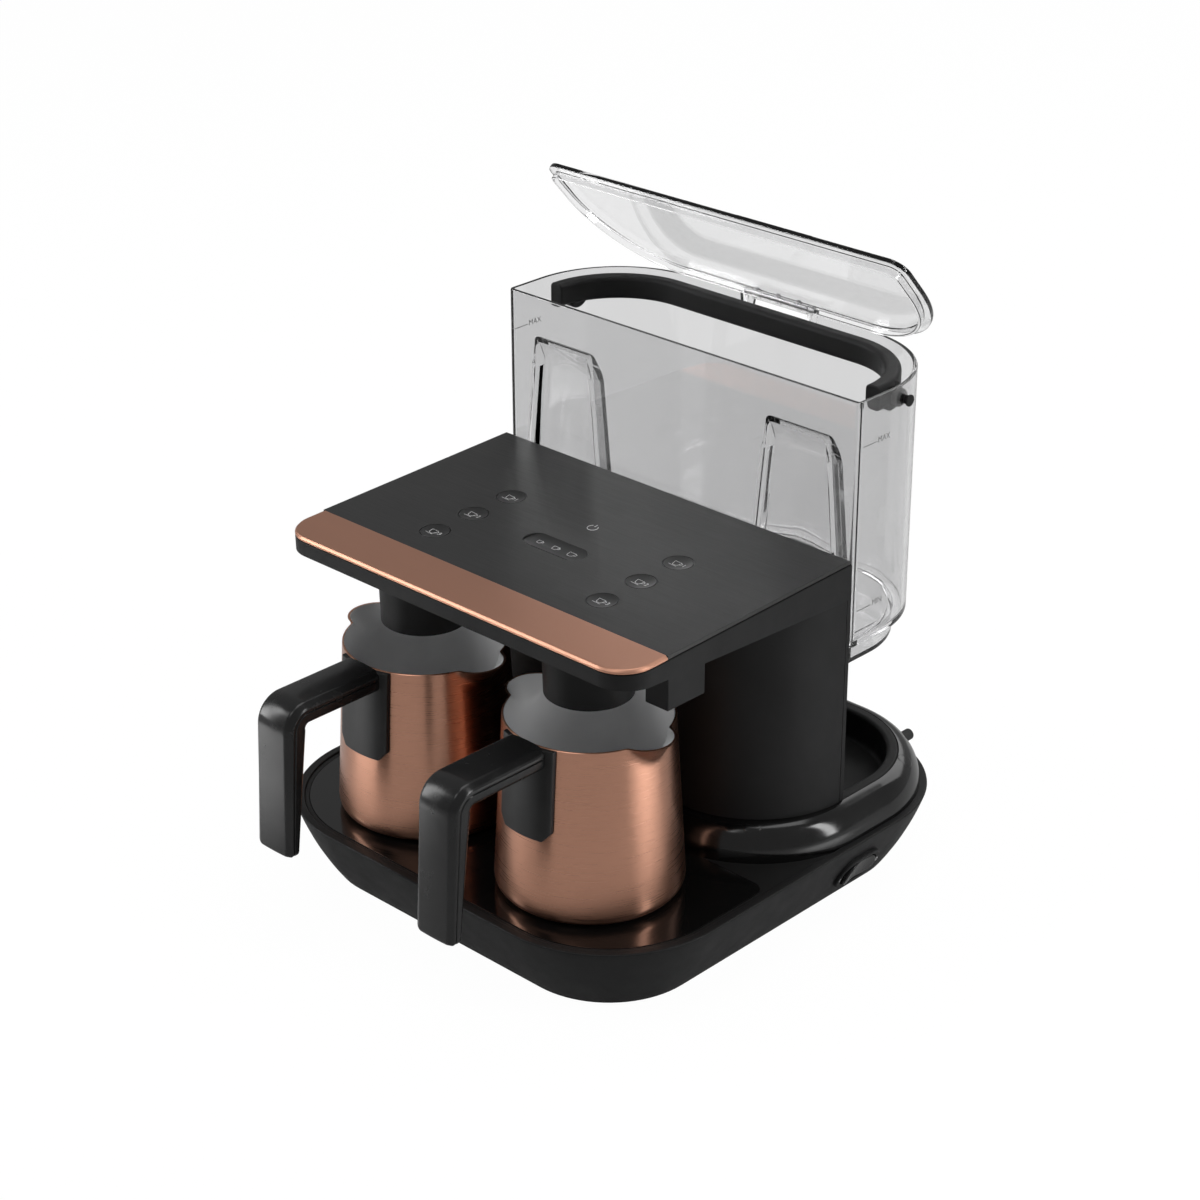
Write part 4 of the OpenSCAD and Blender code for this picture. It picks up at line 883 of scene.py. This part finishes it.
    def round_off(self, bm, s):
        """Rounds the pockets' upper corners and their edges."""
        same, low, high, near = 0.1 * MM, s.pocket_top - 1 * MM, s.rim - 10 * MM, s.front + 6 * MM
        corners = []
        for edge in bm.edges:
            a, b = (v.co for v in edge.verts)
            inwards = abs(a.x - b.x) < same and abs(a.z - b.z) < same and abs(a.y - b.y) > 1 * MM
            if inwards and max(a.y, b.y) < near and low < a.z < high:
                corners.append(edge)
        rounded(bm, corners, 2.6 * MM, 5, "EDGES", True)
        sharp = [
            e for e in bm.edges
            if len(e.link_faces) == 2 and e.calc_face_angle(0) > math.radians(35)
            and max(v.co.y for v in e.verts) < s.front + s.pocket_deep + s.wall + 0.1 * MM
            and max(v.co.z for v in e.verts) < s.pocket_top + 6 * MM
            and min(v.co.z for v in e.verts) > s.shoulder + 4 * MM
            and max(abs(v.co.x) for v in e.verts) < s.pocket_x + 32 * MM
        ]
        rounded(bm, sharp, 0.7 * MM, 3, "EDGES", True)

    def ears(self, s):
        """The two ears behind the rim that carry the hinge pin."""
        thick = 3.2 * MM
        for side, name in SIDES:
            bm = bmesh.new()
            low = bmesh.ops.create_grid(bm, x_segments=1, y_segments=1, size=0.5)["verts"]
            bmesh.ops.scale(bm, verts=low, vec=(thick, 1 * MM, 1))
            bmesh.ops.translate(bm, verts=low, vec=(0, s.hinge_y - 1 * MM, s.hinge_z - 15 * MM))
            for x in (-thick / 2, thick / 2):
                at = move(x, s.hinge_y, s.hinge_z) @ turn(90, "Y")
                bmesh.ops.create_circle(bm, segments=24, radius=3.4 * MM, matrix=at)
            bmesh.ops.delete(bm, geom=bm.faces[:], context="FACES_ONLY")
            bmesh.ops.convex_hull(bm, input=bm.verts[:])
            bmesh.ops.delete(bm, geom=[e for e in bm.edges if not e.link_faces], context="EDGES")
            bmesh.ops.dissolve_limit(bm, angle_limit=0.02, verts=bm.verts[:], edges=bm.edges[:])
            soften(bm, 0.3 * MM, 2, 40)
            place(bm, move(side * 20.6 * MM, 0, 0))
            piece("hinge_ear_" + name, bm, "tank", "clear")

    def marks(self, b):
        for side, name in SIDES:
            wall = move(side * (b.half + 0.02 * MM), 0, 0) @ turn(90, "Z")
            wall = wall @ turn(90, "X")
            for level, word in ((244, "max"), (159.3, "min")):
                line = mm((50, level, 0), (60, level, 0))
                wires(f"{word}_line_{name}", [line], 0.22 * MM, wall, "tank", "clear", "grey_print")
                at, size, depth = wall @ move(*mm(65, level + 0.4, 0)), 4.2 * MM, 0.04 * MM
                lettering(f"{word}_words_{name}", word.upper(), size, at, "tank", "clear", "grey_print", depth)


class BuildLid(bpy.types.Operator):
    """Build the clear lid with its skirt and hinge knuckle"""

    bl_idname = "coffee_maker.build_lid"
    bl_label = "Lid"

    def execute(self, context):
        s, b = context.scene.maker_tank, context.scene.maker_body

        def plate(inset, z):
            rf = max(9 * MM - inset, 0.5 * MM)
            return b.half - inset, s.front + inset, b.back - 0.4 * MM - inset, rf, b.corner - 0.4 * MM - inset, z

        def skirt(inset, z):
            rf = max(6 * MM - inset, 0.5 * MM)
            inset += 3.6 * MM
            return b.half - inset, s.front + inset, b.back - inset, rf, b.corner - inset, z

        low, t, deep = s.rim + 0.3 * MM, s.lid, s.skirt
        bm = bmesh.new()
        stack(bm, [
            skirt(2 * MM, low), skirt(1.5 * MM, low - 0.4 * MM), skirt(1.5 * MM, low - deep + 0.3 * MM),
            skirt(1.2 * MM, low - deep), skirt(0.3 * MM, low - deep), skirt(0, low - deep + 0.3 * MM),
            skirt(0, low), plate(0.5 * MM, low), plate(0.12 * MM, low + 0.15 * MM), plate(0, low + 0.5 * MM),
            plate(0, low + t - 0.7 * MM), plate(0.2 * MM, low + t - 0.2 * MM), plate(0.7 * MM, low + t),
        ], steps=(8, 28))
        closed = move(0, s.hinge_y, s.hinge_z)
        turned = closed @ Matrix.Rotation(-s.open, 4, "X") @ closed.inverted()
        place(bm, turned)
        piece("lid", bm, "tank_lid", "clear", "lid", stands_for=("tank_lid",))

        bm = bmesh.new()
        along = move(0, s.hinge_y, s.hinge_z) @ turn(90, "Y")
        tube = mm((1.65, -18.4), (2.6, -18.4), (2.9, -18.1), (2.9, 18.1), (2.6, 18.4), (1.65, 18.4), (1.65, -18.4))
        lathe(bm, tube, 32, along)
        place(bm, turned)
        piece("lid_knuckle", bm, "tank_lid", "clear")

        bm = bmesh.new()
        y0, y1 = s.hinge_y - 5.5 * MM, s.hinge_y - 2.2 * MM
        for x in mm(-13.5, 0, 13.5):
            block(bm, (x - 1 * MM, y0, low + 0.15 * MM), (x + 1 * MM, y1, low + t + 0.6 * MM))
        soften(bm, 0.3 * MM, 2)
        place(bm, turned)
        piece("lid_webs", bm, "tank_lid", "clear")
        return {"FINISHED"}


class BuildBail(bpy.types.Operator):
    """Build the black bail with its lugs and pivot pins"""

    bl_idname = "coffee_maker.build_bail"
    bl_label = "Bail"

    def execute(self, context):
        s, b = context.scene.maker_tank, context.scene.maker_body
        high = s.rim - 0.6 * MM
        low, wide, c = high - s.bail_deep, s.bail_wide, 2.4 * MM
        section = bend(c, low + c, c, 270, 180, 4) + bend(c, high - c, c, 180, 90, 4)
        section += bend(wide - c, high - c, c, 90, 0, 4) + bend(wide - c, low + c, c, 0, -90, 4)
        bm = bmesh.new()
        stack(bm, [
            (b.half - i, 40 * MM + i - s.bail_inset, b.back - i, 5 * MM, b.corner - i, z)
            for i, z in ((p + s.bail_inset, z) for p, z in section)
        ], closed=True, steps=(4, 32))
        cut(bm, whole(bm), (0, 69 * MM, 0), (0, 1, 0), clear_inner=True)
        cap(bm)
        soften(bm, 0.8 * MM, 3, 60)
        lug = mm(
            (0, 99.7), (6.8, 99.7), (7.6, 100.5), (7.6, 104.6), (6.9, 105.4), (4.5, 105.5), (4.5, 109.2),
            (4.0, 109.7), (2.2, 109.7), (2.2, 114.4), (2.9, 115.3), (2.9, 116.0), (2.5, 116.3), (0, 116.3),
        )
        for side in (-1, 1):
            across = move(0, s.bail_y, s.bail_z) @ turn(side * 90, "Y")
            lathe(bm, lug, 40, across)
        piece("bail", bm, "tank_bail", "matte_black", stands_for=("tank_bail",))
        return {"FINISHED"}


def between(first, second, share):
    return [a + (b - a) * share for a, b in zip(first, second)]


class BuildPots(bpy.types.Operator):
    """Build the two copper-coloured pots with their shields and handles"""

    bl_idname = "coffee_maker.build_pots"
    bl_label = "Pots"

    foot = 6 * MM

    def execute(self, context):
        s = context.scene.maker_pot
        layers = (
            ("shell", mm((0, 5), (0, 5), (0, 3)), 2.9 * MM, 0.5 * MM),
            ("core", mm((5.2, 11), (5.2, 12.5), (3.2, 7)), 0.4 * MM, 2.6 * MM),
        )
        for side, name in SIDES:
            self.pot(s, side, name)
            body, collar = f"pot_{name}", f"pot_collar_{name}"
            from_cad(f"shield_{name}", collar, body, "matte_black", "key_black", round_to=0.5 * MM, segments=3)
            at = move(side * s.x, s.y, 0)
            for layer, depths, outer, inner in layers:
                self.bar(s, f"grip_{layer}_{name}", at, body, depths, outer, inner, f"handle_{layer}_{name}")
        return {"FINISHED"}

    def bar(self, s, name, at, body, depths, outer, inner, node):
        """One layer of the handle: its section carried over arm, elbow and grip."""
        d0, d1 = depths[0]
        half = s.handle / 2
        bm = bmesh.new()
        for radius, corners, segments in zip((outer, inner), rectangle(bm, half, d0, d1), (1, 6)):
            rounded(bm, corners, radius, segments)
        if outer > 1 * MM:
            facet, ease = (d0 + d1) / 2 + outer, 0.9 * MM
            rounded(bm, [v for v in bm.verts if v.co.y < facet and abs(v.co.y - d1) > ease], ease, 4)
        long = [e for e in bm.edges if all(abs(v.co.y - d0) < TINY for v in e.verts)]
        bmesh.ops.subdivide_edges(bm, edges=[max(long, key=lambda e: e.calc_length())], cuts=9)
        if d0 < 0.1 * MM:
            reach = max(v.co.x for v in bm.verts if abs(v.co.y) < TINY)
            for v in bm.verts:
                if abs(v.co.y) < TINY:
                    v.co.y -= 0.5 * MM * (1 - (v.co.x / reach) ** 2)
        top, r, near = s.foot + s.height + 1 * MM, s.elbow, -s.reach + s.lean
        places = [self.station(-41.6 * MM, top, -90, depths[0], d0, d1)]
        for y, z in bend(near + r, top - r, r, 90, 180, 12):
            angle = math.degrees(math.atan2(near + r - y, z - top + r))
            mix = between(depths[0], depths[1], angle / 90)
            places.append(self.station(y, z, angle - 90, mix, d0, d1))
        run = top - r - s.grip_foot
        for up, draw in mm((1.8, 0), (0.8, 0.25), (0.2, 0.8), (0, 1.5)):
            share = 1 - up / run
            first, last = between(depths[1], depths[2], share)
            mix = first + draw / 2, last - draw / 2
            at_foot = self.station(near - s.lean * share, s.grip_foot + up, 0, mix, d0, d1)
            places.append(at_foot @ Matrix.Diagonal((1 - draw / half, 1, 1, 1)))
        sweep(bm, next(iter(bm.faces)), places)
        place(bm, at)
        piece(name, bm, body, "matte_black", "satin", stands_for=(node,))

    def station(self, y, z, angle, depth, d0, d1):
        """Where a section goes: its face plane, and its depths stretched to new ones."""
        k = (depth[1] - depth[0]) / (d1 - d0)
        stretch = move(0, depth[0] - k * d0, 0) @ Matrix.Diagonal((1, k, 1, 1))
        return move(0, y, z) @ turn(angle, "X") @ stretch

    def pot(self, s, side, name):
        """The bowl, its wall turned in one piece; the inside is coated, its colour lightened as painted light for the
        shade inside the pot.
        """
        wall, foot, lip, steps = s.wall, self.foot, 0.3 * MM, 40
        rise = s.height - foot

        def flank(radius, order):
            return [(radius + (s.mouth - s.belly) * k / steps, foot + rise * k / steps) for k in order]

        points = [(0, 0), (s.belly - foot, 0), *bend(s.belly - foot, foot, foot, -90, 0, 10)[1:]]
        points += flank(s.belly, range(1, steps))
        points += [(s.mouth, s.height - lip), (s.mouth - lip, s.height)]
        points += [(s.mouth - wall + lip, s.height), (s.mouth - wall, s.height - lip)]
        points += flank(s.belly - wall, range(steps - 1, 0, -1))
        points += [*bend(s.belly - foot, foot, foot - wall, 0, -90, 8), (0, wall)]
        bm = bmesh.new()
        lathe(bm, points, s.turns)
        for face in bm.faces:
            middle = face.calc_center_median()
            across = Vector((middle.x, middle.y, 0))
            inside = face.normal.dot(across) < -1e-9 or (face.normal.z > 0.9 and middle.z < s.height / 2)
            face.material_index = 1 if inside else 0
        for v in bm.verts:
            self.draw_out(s, v, wall)
        place(bm, move(side * s.x, s.y, s.foot))
        body = f"pot_{name}"
        piece(body + "_bowl", bm, body, "copper", "pot", "coating_and_painted_light", stands_for=(f"pot_{name}",))

    def draw_out(self, s, v, wall):
        """Pulls the wall out into the two spouts, each a cone that starts below the rim."""
        r = math.hypot(v.co.x, v.co.y)
        drop, cone, soft = mm(19, 15, 1.6)
        height = v.co.z - (s.height - drop)
        if r < s.mouth * 0.8 or height <= 0:
            return
        centre = s.mouth + s.spout - cone
        inner = r < s.mouth - 0.6 * wall + (s.belly - s.mouth) * (s.height - v.co.z) / (s.height - self.foot)
        width = cone * height / drop - (wall if inner else 0)
        if width <= 0:
            return
        cosine = abs(v.co.x) / r
        under = width * width - centre * centre * (1 - cosine * cosine)
        if under <= 0:
            return
        gap = centre * cosine + math.sqrt(under) - r
        new = r + (gap if gap > soft else max(0, (gap + soft) ** 2 / (4 * soft)) if gap > -soft else 0)
        v.co.x *= new / r
        v.co.y *= new / r


class BuildSwitch(bpy.types.Operator):
    """Build the mains rocker in its bezel, with its signs"""

    bl_idname = "coffee_maker.build_switch"
    bl_label = "Switch"

    def execute(self, context):
        b = context.scene.maker_base
        wall_x = b.half - b.tuck / 2 + 1.35 * b.bulge
        frame_at = move(wall_x, 48.6 * MM, 20.5 * MM) @ turn(26, "Y")
        facing = turn(90, "Z") @ turn(90, "X")

        def oblong(inset, z, half, side):
            r = side - inset - 0.05 * MM
            return half - inset, -side + inset, side - inset, r, r, z

        bm = bmesh.new()
        section = mm(
            (0, -1.5), (0, 0.5), (0.15, 0.85), (0.5, 1.05), (1.0, 1.1),
            (2.3, 1.1), (2.6, 1.0), (2.75, 0.75), (2.75, -1.5),
        )
        stack(bm, [oblong(inset, z, *mm(15.5, 10.5)) for inset, z in section], closed=True, steps=(16, 16))
        place(bm, frame_at @ facing)
        piece("bezel", bm, "machine", "matte_black", stands_for=("switch_housing",))

        bm = bmesh.new()
        section = mm((0, -2.5), (0, 1.0), (0.15, 1.4), (0.5, 1.7), (1.0, 1.8))
        stack(bm, [oblong(inset, z, *mm(11.9, 7.4)) for inset, z in section], steps=(12, 12))
        for k in range(-10, 11):
            cut(bm, whole(bm), (k * 1.1 * MM, 0, 0), (1, 0, 0))
        for v in bm.verts:
            if v.co.z > 0.9 * MM:
                raised = 0.9 * MM * min(1, max(0, -v.co.x / (8 * MM)))
                v.co.z += v.co.x**2 / (90 * MM) - 1.0 * MM + raised
        place(bm, frame_at @ facing)
        piece("rocker", bm, "power_rocker", "gloss_black", "satin", stands_for=("power_rocker",))
        top = move(1.13 * MM, 0, 0)
        lines = [mm((-14.2, -1.3, 0), (-14.2, 1.3, 0)), drawn_arc(14.2, 0.7, 1.2, 0, 360, 18)]
        wires("switch_signs", lines, 0.2 * MM, frame_at @ top @ facing, "machine", "matte_black", "print")
        return {"FINISHED"}


class BuildTrifles(bpy.types.Operator):
    """Build the caps in the ring and the cord sleeve"""

    bl_idname = "coffee_maker.build_trifles"
    bl_label = "Caps and cord sleeve"

    def execute(self, context):
        s = context.scene.maker_body
        rise, t = s.ring_top - s.deck, math.radians(68)
        out = s.ring_out * math.cos(t)
        tilt = math.atan2(math.cos(t) / s.ring_out, math.sin(t) / rise)
        disc = mm(
            (0, 0.1), (1.5, 0.1), (3, 0.1), (3.9, 0.1), (4.2, 0.02), (4.4, -0.15), (4.5, -0.4), (4.5, -1.5), (0, -1.5)
        )
        for side, word in SIDES:
            for middle, azimuth, end in ((s.column_front + s.corner, -50, "front"), (s.back - s.corner, 30, "back")):
                bm = bmesh.new()
                lathe(bm, disc, 48)
                for v in bm.verts:
                    v.co.z -= v.co.x**2 / (19.8 * MM) + v.co.y**2 / (224 * MM)
                at = move(side * (s.half - s.corner), middle, 0) @ turn(azimuth if side > 0 else 180 - azimuth, "Z")
                place(bm, at @ move(s.corner + out, 0, s.deck + rise * math.sin(t)) @ Matrix.Rotation(tilt, 4, "Y"))
                stands = ("dome_caps",) if side > 0 and end == "front" else ()
                piece(f"cap_{end}_{word}", bm, "machine", "gloss_black", stands_for=stands)
        from_cad("sleeve", "cord_sleeve", "machine", "rubber", round_to=0.3 * MM)
        from_cad("feet", "rubber_feet", "machine", "rubber", round_to=0.5 * MM)
        return {"FINISHED"}


# ---------------------------------------------------------------- stage


class BuildStage(bpy.types.Operator):
    """Set up the floor, the light and the camera"""

    bl_idname = "coffee_maker.build_stage"
    bl_label = "Stage"

    def execute(self, context):
        self.camera()
        self.floor()
        self.lights()
        self.world()
        return {"FINISHED"}

    def camera(self):
        azimuth, elevation, roll = (math.radians(v) for v in (43.7623, 25.9784, -0.1575))
        side = Vector((math.cos(azimuth), math.sin(azimuth), 0))
        ahead = Vector((-math.sin(azimuth), math.cos(azimuth), 0))
        back = -ahead * math.cos(elevation) + Vector((0, 0, math.sin(elevation)))
        up = back.cross(side)
        right = side * math.cos(roll) + up * math.sin(roll)
        top = -side * math.sin(roll) + up * math.cos(roll)
        place_at = Vector((0.6, -7.56, 147.4)) * MM + back * 1365.1 * MM
        data = bpy.data.cameras.new("camera")
        data.lens = 83.47
        data.sensor_width = 36
        data.clip_end = 50
        obj = add("camera", data)
        obj.matrix_world = Matrix.Translation(place_at) @ Matrix((right, top, back)).transposed().to_4x4()
        bpy.context.scene.camera = obj
        bpy.context.scene.view_settings.view_transform = "Standard"

    def floor(self):
        bm = bmesh.new()
        bmesh.ops.create_circle(bm, cap_ends=True, segments=96, radius=6)
        mesh = bpy.data.meshes.new("floor")
        bm.to_mesh(mesh)
        bm.free()
        obj = add("floor", mesh)
        made = Finish("floor", Base_Color=(0.55, 0.55, 0.55, 1), Roughness=0.9, Specular_IOR_Level=0.0)
        tree = made.tree
        rays = tree.nodes.new("ShaderNodeLightPath").outputs
        seen = maths(tree, "MAXIMUM", rays["Is Camera Ray"], rays["Is Transmission Ray"])
        seen = maths(tree, "MAXIMUM", seen, maths(tree, "MULTIPLY", rays["Is Glossy Ray"], 0.15))
        share = maths(tree, "MULTIPLY", seen, 0.95)
        mixed(tree, share, made.shader, node(tree, "Emission", Strength=1.03), "Material Output")
        mesh.materials.append(made.material)

    def lights(self):
        target = Vector((0, 0, 0.13))
        for name, place_at, width, height, power in (
            ("left_softbox", (-1.35, -1.1, 0.8), 0.45, 1.3, 16),
            ("right_softbox", (1.6, 0.55, 0.85), 0.3, 1.4, 14),
            ("back_softbox", (-0.2, 1.7, 1.2), 1.6, 0.8, 7),
            ("top_softbox", (0.1, 0.2, 1.9), 1.2, 1.2, 10),
            ("front_softbox", (0.15, -1.0, 1.6), 0.7, 0.5, 3),
        ):
            data = bpy.data.lights.new(name, "AREA")
            data.shape = "RECTANGLE"
            data.size, data.size_y = width, height
            data.energy = power
            obj = add(name, data)
            obj.location = place_at
            obj.rotation_mode = "QUATERNION"
            obj.rotation_quaternion = (target - Vector(place_at)).to_track_quat("-Z", "Y")
        height, reach = 1.5, 0.15
        for name, x, y in (("right_pool", 0.39, 0.08), ("left_pool", -0.25, -0.36)):
            data = bpy.data.lights.new(name, "SPOT")
            data.spot_size = 2 * math.atan(reach / height)
            data.spot_blend = 0.6
            data.shadow_soft_size = 0.05
            data.energy = 380
            add(name, data).location = (x, y, height)

    def world(self):
        world = bpy.data.worlds.new("studio")
        bpy.context.scene.world = world
        world.use_nodes = True
        tree = world.node_tree
        rays = tree.nodes.new("ShaderNodeLightPath").outputs
        seen = maths(tree, "MAXIMUM", rays["Is Camera Ray"], rays["Is Transmission Ray"])
        share = maths(tree, "MULTIPLY_ADD", rays["Is Glossy Ray"], 0.1, seen, clamp=True)
        plain = node(tree, "Background", Color=(0.5, 0.5, 0.5, 1), Strength=0.5)
        white = node(tree, "Background", Color=(1, 1, 1, 1), Strength=1.0)
        mixed(tree, share, plain, white, "World Output")


class FinishInside(bpy.types.Operator):
    """Give the pieces that keep their CAD shape their finishes"""

    bl_idname = "coffee_maker.finish_inside"
    bl_label = "Carried-over pieces"

    def execute(self, context):
        for part in frame["record"]["subparts"]:
            node = frame["nodes"][part["node"]]
            for slot in node.material_slots:
                slot.material = look(part["material_slot"])
        return {"FINISHED"}


class CoffeeMakerPanel(bpy.types.Panel):
    bl_label = "Turkish coffee maker"
    bl_idname = "VIEW3D_PT_coffee_maker"
    bl_space_type = "VIEW_3D"
    bl_region_type = "UI"
    bl_category = "Coffee maker"

    def draw(self, context):
        for step_class in STEPS:
            self.layout.operator(step_class.bl_idname)
        for name in GROUPS:
            group = getattr(context.scene, name)
            box = self.layout.box()
            for key in group.bl_rna.properties.keys():
                if key not in {"rna_type", "name"}:
                    box.prop(group, key)


GROUPS = {
    "maker_base": BaseSizes,
    "maker_body": BodySizes,
    "maker_head": HeadSizes,
    "maker_tank": TankSizes,
    "maker_pot": PotSizes,
    "maker_finishes": Finishes,
}
STEPS = (
    BuildStage,
    BuildBase,
    BuildRing,
    BuildHead,
    BuildKeys,
    BuildNozzles,
    BuildTank,
    BuildLid,
    BuildBail,
    BuildPots,
    BuildSwitch,
    BuildTrifles,
    FinishInside,
)


def register():
    for group in GROUPS.values():
        bpy.utils.register_class(group)
    for step_class in STEPS:
        bpy.utils.register_class(step_class)
    bpy.utils.register_class(CoffeeMakerPanel)
    for name, group in GROUPS.items():
        setattr(bpy.types.Scene, name, PointerProperty(type=group))


def unregister():
    for name in GROUPS:
        delattr(bpy.types.Scene, name)
    for group in (CoffeeMakerPanel, *STEPS, *GROUPS.values()):
        bpy.utils.unregister_class(group)


def main():
    register()
    for step_class in STEPS:
        module, name = step_class.bl_idname.split(".")
        getattr(getattr(bpy.ops, module), name)()


if __name__ == "__main__":
    main()
